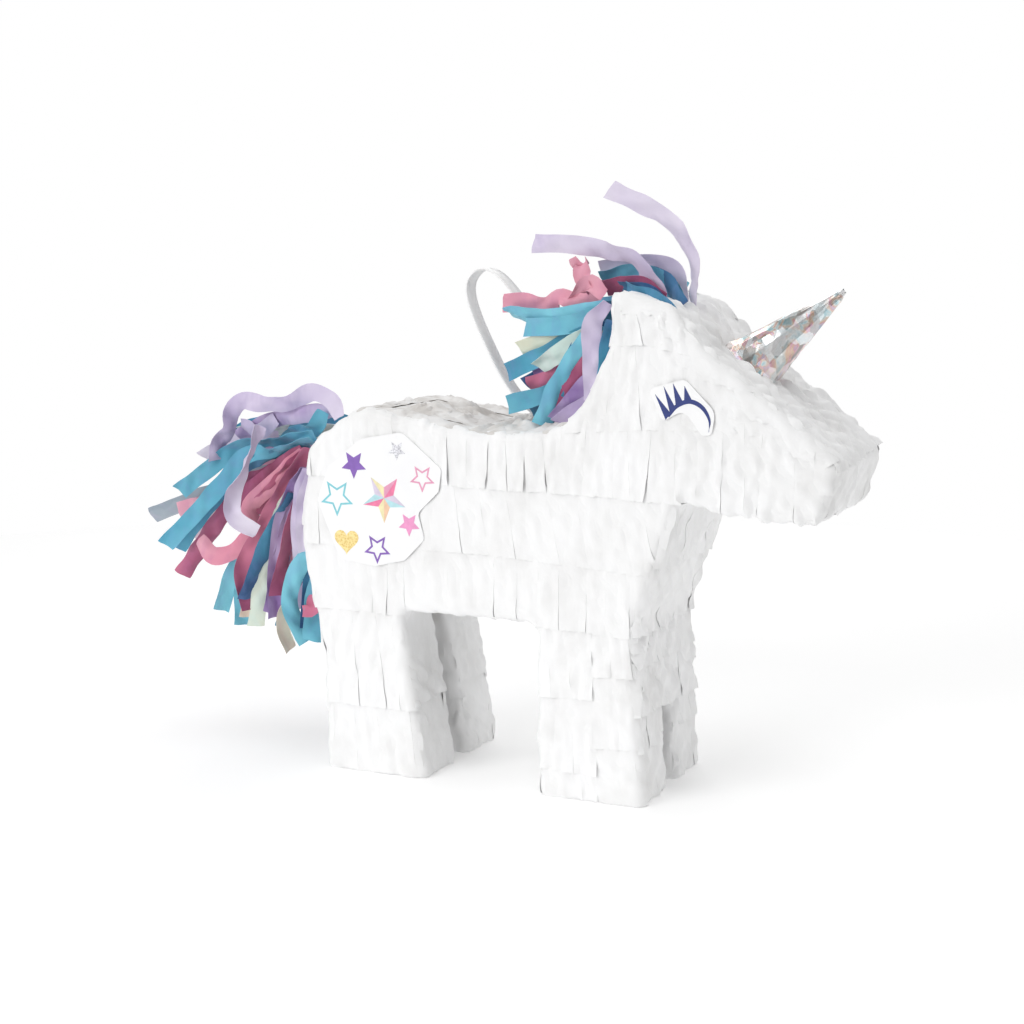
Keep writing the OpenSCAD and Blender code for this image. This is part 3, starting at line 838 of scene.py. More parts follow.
def leg_edge_x(z, lane):
    """Where the outline crosses the height z on one lane of the legs, from the rear to the front."""
    hits = crossings(min(max(z, LEG_LOW_Z), LEG_HIGH_Z))
    return float(on_outline(np.array([hits[lane]]))[0][0, 0])


def leg_line(which, z, shares):
    """A level line across a leg, between two shares of its breadth at the height z."""
    rear = leg_edge_x(z, LEG_LANES[which][0]) - LEG_OVER
    front = leg_edge_x(z, LEG_LANES[which][1]) + LEG_OVER
    return [(rear + (front - rear) * share, z) for share in shares]


def head_z(upper, top_z):
    """Where a row starts: a row below another starts a little higher, behind it."""
    return upper + (HIDDEN_HEAD if upper < top_z - 2 else 0.0)


def leg_sides(sheets, which, side, top_z, rng):
    """Rows on a leg's outer and inner faces. The front half of a front leg has its seams higher."""
    outer = side_place(side)
    inner = side_place(-side, centre=side * (HALF_W + LEG_INNER_Y) / 2, half=(HALF_W - LEG_INNER_Y) / 2)
    columns = {
        "front": [
            (outer, (0.0, 0.58), [top_z + 1, 29.0, 8.0]),
            (outer, (0.56, 1.0), [top_z + 1, 36.0, 16.0]),
        ],
        "hind": [(outer, (0.0, 1.0), [top_z + 1, 20.0])],
    }[which]
    for place, shares, seams in [*columns, (inner, (0.0, 1.0), [top_z - 1.5, 34.0, 17.0])]:
        for upper, lower in tiers([*seams, -2.0]):
            tilt = rng.uniform(-0.5, 0.5)
            (x0, _), (x1, _) = leg_line(which, lower, shares)
            hem = [(x0, lower + tilt), (x1, lower - tilt)]
            head = leg_line(which, head_z(upper, top_z), shares)
            underlay(sheets, place, head, hem, rng, lip=LEG_LIP)
            fringe(sheets, place, head, hem, rng, widths=(4.5, 9.5), rough=1.5, lift=0.45, slant=0.9,
                   open_share=0.45, gap=(0.08, 0.45), lip=LEG_LIP)


def leg_ends(sheets, which, side, top_z, rng):
    """Rows on a leg's front and rear faces."""
    y_low, y_high = sorted((side * LEG_INNER_Y, side * HALF_W))
    place = edge_place(y_low, y_high)
    tops = crossings(top_z - 2.0)
    soles = crossings(LEG_LOW_Z)
    rear_lane, front_lane = LEG_LANES[which]
    for lane, seams in ((front_lane, LEG_END_SEAMS[which]), (rear_lane, LEG_REAR_SEAMS)):

        def level(z, tilt=0.0):
            """A line across the face at the height z, higher on one side by a tilt and lower on the other."""
            shares = [(top_z - 2.0 - z_here) / (top_z - 4.0) for z_here in (z + tilt, z - tilt)]
            ends = [tops[lane] + share * (soles[lane] - tops[lane]) for share in shares]
            return list(zip((y_low, y_high), ends))

        marks = [top_z - 0.5, *seams, -2.5]
        underlay(sheets, place, level(marks[0]), level(marks[-1]), rng, cell=NARROW_CELL)
        for upper, lower in tiers(marks):
            tilt = rng.uniform(-1.5, 1.5)
            fringe(sheets, place, level(head_z(upper, top_z)), level(lower, tilt), rng, widths=(4.5, 9.0),
                   rough=2.3, lift=0.6, open_share=0.6, gap=(0.1, 0.9))


def leg_fringe(which, side_name, tissue):
    """The tissue on all four faces of one leg."""
    side = SIDES[side_name]
    node = f"{which}_{side_name}_leg_tissue"
    top_z = box_mm(node)[1][2]
    rng = np.random.default_rng(RNG_SEED + 7 + side + (3 if which == "front" else 0))
    sheets = Sheets()
    leg_sides(sheets, which, side, top_z, rng)
    leg_ends(sheets, which, side, top_z, rng)
    sheets.piece(f"{node}_fringe", tissue, "tissue", replaces=[node])


# ---------------------------------------------------------------- tissue on the narrow faces

def covered(node):
    """The stretch of the outline that a tissue node lies on."""
    mesh = frame["nodes"][node].data
    q = np.unique(np.round([(v.co.x / MM, v.co.z / MM) for v in mesh.vertices], 1), axis=0)
    hits = [outline_at(x, z) for x, z in q]
    return min(hits), max(hits)


def narrow_face(node, tissue, bands, stretch=None, **common):
    """Rows of tissue across the body along one stretch of the outline, that of the node unless given.

    Each band is (from share, to share of the stretch, rows, looks): rows hang from the first to the second.
    """
    rng = np.random.default_rng(RNG_SEED + len(node) * 3)
    first, last = stretch or covered(node)
    place = edge_place(-HALF_W, HALF_W)

    def level(s, tilt=0.0):
        """A line across the body at the distance s, shifted by a tilt at one end and back at the other."""
        return [(-HALF_W, s + tilt), (HALF_W, s - tilt)]

    sheets = Sheets()
    for share_0, share_1, rows, looks in bands:
        s0 = first + (last - first) * share_0
        s1 = first + (last - first) * share_1
        way = 1.0 if s1 > s0 else -1.0
        underlay(sheets, place, level(s0), level(s1), rng, cell=NARROW_CELL)
        for upper, lower in tiers(np.linspace(s0, s1, rows + 1)):
            tilt = rng.uniform(-1.2, 1.2)
            head = upper - way * (2.5 if upper != s0 else 0.0)
            fringe(sheets, place, level(head), level(lower, tilt), rng, **{**common, **looks})
    sheets.piece(f"{node}_fringe", tissue, "tissue", replaces=[node])


def narrow_faces(tissue):
    """The tissue along the back of the neck, face, muzzle, jaw, chest, rump and belly."""
    narrow_face("face_tissue", tissue, [(1.0, 0.0, 1, {"widths": (7.0, 15.0)})],
                rough=4.6, lift=0.45, slant=3.0, open_share=0.15)
    narrow_face("muzzle_tissue", tissue, [(1.06, -0.02, 1, {"widths": (8.0, 13.0)})],
                rough=2.6, lift=0.4, open_share=0.3)
    narrow_face("jaw_tissue", tissue, [(0.0, 1.0, 3, {"widths": (6.0, 11.0)})], rough=1.6)
    # The lowest tissue of the chest hangs down over both front legs and closes the gap between them
    narrow_face("chest_tissue", tissue, [
        (0.05, -0.66, 2, {"widths": (7.0, 11.0), "base": 0.7, "gap": (0.6, 1.8)}),
        (1.0, -0.06, 2, {"widths": (5.0, 9.0), "base": 0.5, "lift": 1.3, "gap": (0.1, 0.8)}),
    ], rough=2.6, lift=0.5, open_share=0.5)
    narrow_face("nape_tissue", tissue, [(0.0, 1.0, 3, {"widths": (6.0, 10.0)})], rough=1.5)
    narrow_face("rump_tissue", tissue, [(0.0, 1.0, 3, {"widths": (5.0, 9.0)})], rough=1.8, lift=0.6)
    arch = crossings(box_mm("belly_tissue")[0][2] - 1.0)[1:3]
    narrow_face("belly_tissue", tissue, [(0.0, 1.0, 3, {"widths": (6.0, 10.0)})], arch, rough=1.3, lift=0.4)


def face_border(side_name, tissue):
    """The tissue of the face folded over its long edge, with a ragged border on the side of the head."""
    side = SIDES[side_name]
    rng = np.random.default_rng(RNG_SEED + 60 + side)
    first, last = covered("face_tissue")
    place = side_place(side, pressed=sticker_press(side_name))
    s = np.arange(first + 1.0, last - 1.0, 0.8)
    points, normals = on_outline(s)
    inner = 3.4 + 0.8 * waves(s, s * 0, rng, 11.0, 1.0, 3) + 0.3 * waves(s, s * 0, rng, 2.6, 1.0, 3)
    share = np.linspace(0, 1, 9)[None]
    depth = -2.6 + (inner[:, None] + 2.6) * share
    a = points[:, :1] - normals[:, :1] * depth
    b = points[:, 1:] - normals[:, 1:] * depth
    along = s[:, None] + 0 * share
    h = 0.65 + 0.9 * (creases(depth, along, rng, 4.0, 26.0) - 0.2) + 0.2 * waves(depth, along, rng, 5.0, 9.0)
    sheets = Sheets()
    sheets.grid(place(a, b, np.maximum(h, 0.3), 3.0), tint=0.7)
    sheets.piece(f"{side_name}_face_border_tissue", tissue, "tissue")


# How far in from its edges a patch reaches its full height
EDGE_RAMP = 7.0


def crumpled_patch(sheets, place, y_span, s_span, rng, height, pitch, tint, base=0.3):
    """A sheet of tissue scrunched into folds over a stretch of the back, and flatter towards its edges."""
    rows = max(8, int(abs(s_span[1] - s_span[0]) / PATCH_CELL))
    columns = max(8, int((y_span[1] - y_span[0]) / PATCH_CELL))
    s, y = np.meshgrid(np.linspace(*s_span, rows), np.linspace(*y_span, columns), indexing="ij")
    wander = 2.0 * waves(y, s, rng, 14.0, 17.0)
    swell = 0.8 + 0.35 * waves(s, y, rng, 20.0, 30.0, 2)
    h = base + height * swell * 0.28 * (1.3 + waves(y + wander, s, rng, pitch, pitch * 0.8, 4))
    h = h + height * swell * 0.45 * creases(y + wander, s, rng, pitch * 1.3, pitch * 2.4, count=3)
    h = h + height * swell * 0.25 * creases(s + wander, y, rng, pitch * 1.2, pitch * 2.0, count=2)
    edge = np.minimum.reduce([y - y_span[0], y_span[1] - y, np.abs(s - s_span[0]), np.abs(s_span[1] - s)])
    h = 0.05 + np.maximum(h, 0.1) * np.clip(edge / EDGE_RAMP, 0.12, 1.0)
    sheets.grid(place(y, s, h), tint=tint)


def back_and_flap(tissue):
    """The crumpled tissue along the back, with the filling flap's own patch in it."""
    rng = np.random.default_rng(RNG_SEED + 90)
    first, last = covered("back_tissue")
    place = edge_place(-HALF_W, HALF_W)
    flap_low, flap_high = box_mm("filling_flap")
    flap_rear = outline_at(flap_low[0], flap_high[2] - 1.0)
    flap_front = outline_at(flap_high[0], flap_high[2] - 3.0)
    rim_y = flap_high[1] + 0.4

    back = Sheets()
    for y_span, s_span in (
        ((-HALF_W, HALF_W), (first - 1.0, flap_front - 0.1)),
        ((-HALF_W, HALF_W), (flap_rear - 0.1, last + 3.0)),
        ((-HALF_W, -rim_y), (flap_front - 1.5, flap_rear + 1.5)),
        ((rim_y, HALF_W), (flap_front - 1.5, flap_rear + 1.5)),
    ):
        crumpled_patch(back, place, y_span, s_span, rng, height=3.4, pitch=9.5, tint=rng.uniform(0.3, 1.0))
        crumpled_patch(back, place, (y_span[0] + 1.5, y_span[1] - 1.0), (s_span[0] + 1.5, s_span[1] - 1.5),
                       rng, height=2.6, pitch=10.0, base=0.7, tint=rng.uniform(0.5, 1.0))
    back.piece("back_tissue_crumpled", tissue, "tissue", replaces=["back_tissue"])

    flap = Sheets()
    crumpled_patch(flap, place, (-rim_y + 0.8, rim_y - 0.8), (flap_front + 0.1, flap_rear - 0.7), rng,
                   height=2.4, pitch=7.0, tint=0.8)
    crumpled_patch(flap, place, (-rim_y + 2.5, rim_y - 2.0), (flap_front + 2.5, flap_rear - 2.0), rng,
                   height=3.0, pitch=9.0, base=0.9, tint=0.6)
    flap.piece("flap_tissue_crumpled", tissue, "tissue", replaces=["flap_tissue"], body="flap")


# ---------------------------------------------------------------- stickers

def star(radius, inner):
    """A five-pointed star with one point down."""
    angles = np.radians(-90.0 + np.arange(10) * 36.0)
    reach = np.where(np.arange(10) % 2 == 0, radius, radius * inner)
    return np.column_stack([reach * np.cos(angles), reach * np.sin(angles)])


def heart(size):
    """A heart with its point down."""
    t = np.linspace(0, 2 * math.pi, 40, endpoint=False)
    x = 16 * np.sin(t) ** 3
    z = 13 * np.cos(t) - 5 * np.cos(2 * t) - 2 * np.cos(3 * t) - np.cos(4 * t)
    return np.column_stack([x, z]) * size / 17


class Prints:
    """Flat prints on one sticker, each a thin plate in side view."""

    def __init__(self, side):
        self.side = side
        self.verts = []
        self.faces = []
        self.finishes = []

    def plate(self, outline, depth, thickness, finish):
        """A plate with its outer face at that depth from the middle plane, anticlockwise outline."""
        count = len(outline)
        first = len(self.verts)
        for y in (depth, depth - thickness):
            self.verts.extend((x, self.side * y, z) for x, z in outline)
        front = list(range(first, first + count))
        back = list(range(first + count, first + 2 * count))
        self.faces.append(front if self.side < 0 else front[::-1])
        self.faces.append(back[::-1] if self.side < 0 else back)
        for k in range(count):
            m = (k + 1) % count
            wall = [front[k], back[k], back[m], front[m]]
            self.faces.append(wall if self.side < 0 else wall[::-1])
        self.finishes.extend([finish] * (count + 2))

    def ring(self, outline, inner, depth, thickness, finish):
        """The band between an outline and a smaller one with as many points."""
        for k in range(len(outline)):
            m = (k + 1) % len(outline)
            self.plate(np.array([outline[k], outline[m], inner[m], inner[k]]), depth, thickness, finish)

    def piece(self, name, materials, node):
        """Makes the plates into one object that stands for a CAD sticker."""
        mesh = new_mesh(name, self.verts, self.faces, materials)
        mesh.polygons.foreach_set("material_index", self.finishes)
        piece = link(name, mesh)
        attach(piece, "body")
        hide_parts(node)


# How far a label's face stands off the CAD's tissue, and the thickness of label and ink
STICKER_OUT = 0.95
PAPER_T = 0.3
INK_T = 0.06

# Stars on the hip: ink, centre x and z from the label's low corner, radius, share of the radius at the
# inner corners, and share of the radius where the line ends, which is 0 for a full star
STARS = [
    ("violet", 12.1, 29.3, 4.2, 0.47, 0.0),
    ("silver", 26.1, 34.0, 2.9, 0.44, 0.0),
    ("rose", 34.2, 26.4, 4.1, 0.47, 0.72),
    ("teal", 6.4, 19.4, 5.6, 0.47, 0.76),
    ("violet", 19.5, 5.2, 4.5, 0.47, 0.70),
    ("rose_full", 29.9, 12.9, 3.5, 0.47, 0.0),
]
HEART_AT = (9.4, 6.9)
HEART_SIZE = 4.2
BIG_STAR_AT = (21.9, 20.0)
BIG_STAR_R = 7.2
BIG_STAR_FACETS = [
    "peach", "sky", "mauve_pale", "hot_pink", "rose", "cream", "mauve_pale", "sky", "hot_pink", "cream",
]


def hip_sticker(side_name, inks):
    """The die-cut label of stars and a heart on the hip."""
    node = f"{side_name}_hip_sticker"
    low = box_mm(node)[0]
    corner = np.array([low[0], low[2]])
    prints = Prints(SIDES[side_name])
    depth = HALF_W + STICKER_OUT
    prints.plate(smooth_loop(flat_loop(node)), depth, PAPER_T, 0)
    top = depth + INK_T
    for ink, x, z, radius, inner, line in STARS:
        outline = star(radius, inner) + (low[0] + x, low[2] + z)
        if line:
            inside = star(radius * line, inner) + (low[0] + x, low[2] + z)
            prints.ring(outline, inside, top, INK_T, inks[ink])
        else:
            prints.plate(outline, top, INK_T, inks[ink])
    prints.plate(heart(HEART_SIZE) + (corner + HEART_AT), top, INK_T, inks["gold"])
    hub = corner + BIG_STAR_AT
    big = star(BIG_STAR_R, 0.44) + hub
    for k, facet in enumerate(BIG_STAR_FACETS):
        prints.plate(np.array([hub, big[k], big[(k + 1) % 10]]), top, INK_T, inks[facet])
    return prints, node


def smooth_loop(loop, passes=2):
    """A closed loop with its corners cut, pass by pass."""
    for _ in range(passes):
        after = np.roll(loop, -1, axis=0)
        loop = np.stack([loop * 0.75 + after * 0.25, loop * 0.25 + after * 0.75], axis=1).reshape(-1, 2)
    return loop


# The closed eye, from the label's low corner: the lid's line, and each lash's place along it and tip
LID = [(5.0, 4.7), (7.4, 7.6), (11.0, 8.9), (14.4, 7.4), (16.4, 4.2), (16.3, 1.0)]
LID_W = 0.62
LASHES = [(0.02, (1.2, 10.6)), (0.13, (3.6, 12.8)), (0.25, (6.2, 13.6)), (0.40, (9.4, 13.0))]
LASH_ROOT = 1.15


def eye_sticker(side_name, inks):
    """The closed eye: a navy arc with four lashes on a white die-cut label."""
    node = f"{side_name}_eye_sticker"
    low = box_mm(node)[0]
    corner = np.array([low[0], low[2]])
    prints = Prints(SIDES[side_name])
    depth = HALF_W + STICKER_OUT + INK_T
    prints.plate(smooth_loop(flat_loop(node)), depth, PAPER_T, 0)
    top = depth + INK_T
    lid = smooth_path(LID, 0.5)[0]
    share = np.linspace(0, 1, len(lid))
    way = unit(np.gradient(lid, axis=0))
    across = np.column_stack([-way[:, 1], way[:, 0]])
    wide = LID_W * np.sin(np.clip(share * 0.96 + 0.10, 0, 1) * math.pi) ** 0.6 + 0.05
    upper = lid + across * wide[:, None] * 0.9
    lower = lid - across * wide[:, None] * 0.9
    for k in range(len(lid) - 1):
        quad = np.array([lower[k], lower[k + 1], upper[k + 1], upper[k]]) + corner
        prints.plate(quad, top, INK_T, inks["navy"])
    for place, tip in LASHES:
        k = int(place * (len(lid) - 1))
        half = way[k] * LASH_ROOT
        lash = np.array([lid[k] - half, lid[k] + half, tip]) + corner
        prints.plate(lash, top - INK_T / 3, INK_T, inks["navy"])
    return prints, node


def stickers():
    """All four stickers, with their inks."""
    palette = {
        "violet": ink_material("ink_violet", (0.26, 0.13, 0.50)),
        "silver": leaf_material("ink_silver", (0.35, 0.35, 0.38), (0.78, 0.78, 0.82), 2600.0, 0.6),
        "rose": ink_material("ink_rose", (0.85, 0.38, 0.55)),
        "teal": ink_material("ink_teal", (0.25, 0.66, 0.74)),
        "rose_full": ink_material("ink_rose_full", (0.90, 0.35, 0.62)),
        "gold": leaf_material("ink_gold", (0.72, 0.50, 0.15), (0.92, 0.76, 0.36), 1500.0, 0.45),
        "peach": ink_material("ink_peach", (0.93, 0.62, 0.42)),
        "cream": ink_material("ink_cream", (0.93, 0.84, 0.50)),
        "hot_pink": ink_material("ink_hot_pink", (0.90, 0.22, 0.40)),
        "sky": ink_material("ink_sky", (0.52, 0.80, 0.86)),
        "mauve_pale": ink_material("ink_mauve_pale", (0.74, 0.66, 0.80)),
        "navy": ink_material("ink_navy", (0.02, 0.04, 0.21)),
    }
    inks = {name: k + 1 for k, name in enumerate(palette)}
    materials = [label_material(), *palette.values()]
    for side_name in SIDES:
        for prints, node in (hip_sticker(side_name, inks), eye_sticker(side_name, inks)):
            prints.piece(f"{node}_print", materials, node)


# ---------------------------------------------------------------- horn

# The horn's lean from upright in degrees, the grid of its foil, its folds, and where its tip is pinched
HORN_LEAN = 51.0
HORN_ROWS = 15
HORN_COLUMNS = 19
HORN_FOLDS = 9
HORN_FOLD_H = 1.25
PINCH_FROM = 0.86


def horn(foil):
    """The crumpled foil cone, pinched to a twisted tip and flared at its foot."""
    rng = np.random.default_rng(RNG_SEED + 300)
    mesh = frame["nodes"]["horn_foil"].data
    points = np.array([(v.co.x, v.co.y, v.co.z) for v in mesh.vertices]) / MM
    lean = math.radians(HORN_LEAN)
    axis = np.array([math.sin(lean), 0.0, math.cos(lean)])
    reach = points @ axis
    tip = points[reach > reach.max() - 0.05].mean(axis=0)
    tip[1] = 0.0
    length = reach.max() - reach.min()
    foot_r = box_mm("horn_foil")[1][1]
    ahead = np.cross(axis, (0.0, 1.0, 0.0))
    v, u = np.meshgrid(np.linspace(0, 1, HORN_ROWS), np.linspace(0, 1, HORN_COLUMNS), indexing="ij")
    angle = u * 2 * math.pi
    radius = foot_r * (0.93 * (1 - v) ** 0.95 + 0.07) * (1 + 0.10 * np.clip(0.12 - v, 0, 1) / 0.12)
    fold = np.zeros_like(v)
    for _ in range(HORN_FOLDS):
        turns = rng.integers(2, 7)
        climb = rng.uniform(-7, 7)
        fold += (1 - np.abs(np.sin(turns * angle / 2 + climb * v + rng.uniform(0, 6)))) ** 3
    fold = fold / fold.max()
    ripple = np.sin(angle * 5 + v * 22 + rng.uniform(0, 6)) * 0.25
    dent = (0.9 * fold - 0.35 + 0.25 * ripple) * (0.35 + 1.3 * v * (1 - v))
    radius = radius + dent * HORN_FOLD_H
    pinch = np.clip((v - PINCH_FROM) / (1 - PINCH_FROM), 0, 1)
    flat_y = 1 - 0.55 * pinch
    along = v * length + 0.25 * np.sin(angle * 3) * (v > 0.97)
    twist = 0.9 * pinch * np.sin(v * 40) * 0.4
    centre = tip - axis * length + axis * along[..., None] + ahead * twist[..., None]
    points = (centre + (np.cos(angle) * radius)[..., None] * ahead
              + (np.sin(angle) * radius * flat_y)[..., None] * np.array([0.0, 1.0, 0.0]))
    points[:, -1] = points[:, 0]
    sheets = Sheets()
    sheets.grid(points)
    sheets.piece("horn_foil_crumpled", foil, "foil", replaces=["horn_foil"], thickness=FOIL_T, smooth=False)


# ---------------------------------------------------------------- hanging ribbon

def ribbon(satin):
    """The white satin loop, a flat band that follows its route, as a closed flat tube."""
    pivot_x, pivot_y, pivot_z = PIVOTS["ribbon_swing"]
    path, at = smooth_path([(pivot_x + x, pivot_y, pivot_z + z) for x, z in RIBBON_ROUTE], 0.9)
    along = unit(np.gradient(path, axis=0))
    half = RIBBON_W / 2
    flat = half - RIBBON_BEVEL
    section = [(-half, 0.0), (-flat, 0.5), (0.0, 0.5), (flat, 0.5), (half, 0.0), (flat, -0.5), (0.0, -0.5),
               (-flat, -0.5)]
    rng = np.random.default_rng(RNG_SEED + 500)
    sway = 0.35 * np.sin(at / at[-1] * math.pi * 3 + rng.uniform(0, 6)) * np.sin(at / at[-1] * math.pi)
    verts = []
    for point, tangent, off in zip(path, along, sway):
        out = np.array([-tangent[2], 0.0, tangent[0]])
        for y, t in section:
            sag = 0.25 * (y / half) ** 2
            verts.append(point + np.array([0.0, y + off, 0.0]) + out * (t * RIBBON_T + sag))
    count = len(section)
    faces = []
    for row in range(len(path) - 1):
        a, b = row * count, (row + 1) * count
        for k in range(count):
            m = (k + 1) % count
            faces.append((a + k, a + m, b + m, b + k))
    faces.append(tuple(range(count))[::-1])
    faces.append(tuple(range((len(path) - 1) * count, len(path) * count)))
    name = "hanging_ribbon_satin"
    piece = link(name, new_mesh(name, verts, faces, [satin], smooth=True))
    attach(piece, "ribbon")
    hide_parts("hanging_ribbon")


# ---------------------------------------------------------------- mane and tail

# A cut strip's width, and the points across it
STRIP_W = 5.2
STRIP_COLUMNS = 6
CAMERA_MM = np.array(CAMERA_AT) / MM


def pushed_back(x, z, y):
    """The point at depth y that the camera sees where it sees x, z on the middle plane."""
    share = (y - CAMERA_MM[1]) / (0.0 - CAMERA_MM[1])
    return CAMERA_MM + (np.array([x, 0.0, z]) - CAMERA_MM) * share


def facing_frame(centre):
    """At each point of a path: the way along it, the way across it in the camera's view, and the third."""
    along = unit(np.gradient(centre, axis=0))
    across = np.cross(along, unit(centre - CAMERA_MM))
    across /= np.maximum(np.linalg.norm(across, axis=1), 1e-6)[:, None]
    for k in range(1, len(across)):
        if across[k] @ across[k - 1] < 0:
            across[k] = -across[k]
    return along, across, np.cross(across, along)


def strip(sheets, points, rolls, rng, tint):
    """One cut strip along 3-D points, whose flat side turns away from the camera's side by its rolls."""
    rolls = np.interp(np.linspace(0, 1, len(points)), np.linspace(0, 1, len(rolls)), rolls)
    path, at = smooth_path(np.column_stack([points, rolls]), 1.1)
    centre, roll = path[:, :3], np.radians(path[:, 3])[:, None]
    along, across, normal = facing_frame(centre)
    turned = across * np.cos(roll) + normal * np.sin(roll)
    facing = -across * np.sin(roll) + normal * np.cos(roll)
    u = np.linspace(-1, 1, STRIP_COLUMNS)[None]
    s = at[:, None] + 0 * u
    half = STRIP_W / 2 * (1 + 0.06 * waves(at, at * 0, rng, 14.0, 1.0, 2))
    half = half * (0.72 + 0.28 * np.clip(at / 6.0, 0, 1))
    beside = u * half[:, None]
    gutter = rng.uniform(-0.9, 0.9)
    bend = gutter * (u ** 2 - 0.3) + 0.28 * waves(beside, s, rng, 5.0, 9.0)
    bend = bend + 0.6 * (creases(beside, s, rng, 9.0, 16.0) - 0.3)
    skew = rng.uniform(-1, 1) * 0.15 * STRIP_W
    end = np.clip((at - at[-1] + 5.0) / 5.0, 0, 1)[:, None] * u * skew
    points = (centre[:, None] + turned[:, None] * beside[..., None]
              + facing[:, None] * bend[..., None] + along[:, None] * end[..., None])
    sheets.grid(points, tint=tint)


def hero_strips(gathered, table, rng):
    """Strips whose lie is seen in the photograph: colour, tint, depths y of root and tip, rolls, points."""
    for colour, tint, (y_root, y_tip), rolls, points in table:
        depths = np.linspace(y_root, y_tip, len(points))
        path = [pushed_back(x, z, y) for (x, z), y in zip(points, depths)]
        strip(gathered[colour], np.array(path), rolls, rng, tint)


# Strips in view, with points x, z on the middle plane, as hero_strips reads them
MANE_HEROES = [
    # two tall lilac strips that stand up from the poll, and one folded over behind them
    ("lilac", 0.75, (-6, -4), (74, 72, 62, 45, 30, 5, 5),
     [(69, 134), (69, 140), (69.3, 148), (66, 156), (60, 162), (52, 166), (44, 169.5)]),
    ("lilac", 0.60, (-10, -8), (60, 45, 50, 30, 10, 0),
     [(63, 135), (57, 144), (52, 150), (44, 152.4), (33, 154.2), (21, 154.5)]),
    ("lilac", 0.70, (0, 2), (55, 35, 10, 0, 10),
     [(67, 135), (65.5, 142), (62.6, 148), (54, 148.8), (41.5, 147.2)]),
    # blue and dark pink over the top of the head
    ("blue", 0.55, (-8, 0), (20, 10, 20, 35), [(67, 135), (61, 143.5), (53, 146.5), (42, 144.8)]),
    ("blue", 0.15, (-16, -8), (10, 15, 30), [(62, 136), (56, 140.5), (48, 142)]),
    ("blue", 0.45, (-20, -12), (15, 25, 30), [(64, 134.5), (58, 139), (50, 141.4)]),
    ("pink", 0.12, (-14, -6), (30, 25, 30), [(61, 139), (53, 143.2), (43, 142.2)]),
    ("blue", 0.05, (-12, 4), (35, 40, 45), [(66, 137), (60, 144.8), (50, 147)]),
    # the pink knot behind the poll, and its tail
    ("pink", 0.62, (-12, -8), (0, 50, 10, 60, 0),
     [(40.5, 138.5), (38, 142), (36, 146), (36.5, 149.4), (33.5, 147.4)]),
    ("pink", 0.72, (-14, -10), (20, -20, 30, 0), [(43, 140), (38.6, 143), (35.6, 140.5), (33.4, 137.5)]),
    ("pink", 0.66, (-13, -8), (30, 0, -40, 0, 10, 0),
     [(42, 139), (35, 138), (29.5, 139.4), (25, 136.8), (18, 137.8), (11.5, 137.4)]),
    # wide pale blue strips to the rear
    ("blue", 0.92, (-17, -11), (10, 0, 15, 70), [(43, 137), (34, 134.4), (24, 133.6), (13, 134.9)]),
    ("blue", 0.80, (-18, -12), (0, 0, 5), [(43, 135.6), (32, 131.6), (18.5, 130.6)]),
    ("blue", 0.95, (-16, -10), (15, 5, 0), [(42, 134), (30, 133), (19.5, 132.8)]),
    ("pearl", 0.55, (-15, -9), (10, 0, 20), [(40, 131.5), (28, 128.3), (17, 124.2)]),
    ("blue", 0.62, (-16, -8), (15, 0, 10), [(40, 131), (28, 124.6), (12.8, 117.6)]),
    ("pearl", 0.75, (-18, -14), (25, 0, 40), [(38.5, 130), (30, 124), (22.4, 119.3)]),
    ("lilac", 0.15, (-13, -7), (10, 30, 0), [(37, 126), (28.4, 119.5), (21, 118)]),
    ("pink", 0.35, (-14, -8), (20, 10, 30), [(37, 123), (27, 116), (19.5, 114)]),
    ("blue", 0.70, (-15, -10), (5, 10, 0), [(38, 122), (28, 113), (13, 108)]),
    ("blue", 0.88, (-20, -17), (15, 0, 10, 0), [(41, 132), (34, 122.5), (28, 113), (23.6, 102.6)]),
    ("blue", 0.12, (-18, -15), (10, 0, 20), [(42, 133), (35.4, 125), (30.5, 114.5)]),
    ("pink", 0.10, (-19, -16), (30, 10, 0), [(41, 125), (35, 116.5), (28, 106.2)]),
    ("lilac", 0.20, (-19, -17), (10, 0, 20), [(41.5, 119), (34.6, 111.5), (28.5, 104.2)]),
    ("blue", 0.40, (-18, -13), (0, 20, 0), [(38, 119), (32, 110), (25, 103)]),
    ("lilac", 0.42, (-21, -18), (0, 10, 25), [(44, 112), (36, 108), (28.6, 103)]),
    ("lilac", 0.55, (-22.5, -22), (40, 10, 0, 5), [(44, 138), (39.4, 132.5), (39, 124), (39.6, 111)]),
    ("blue", 0.30, (-21, -20), (0, 20, 10), [(45.5, 133), (43.8, 125), (43.6, 116)]),
    ("blue", 0.35, (-12, -4), (10, 20, 10), [(35, 112), (28, 108.4), (20.5, 106)]),
]

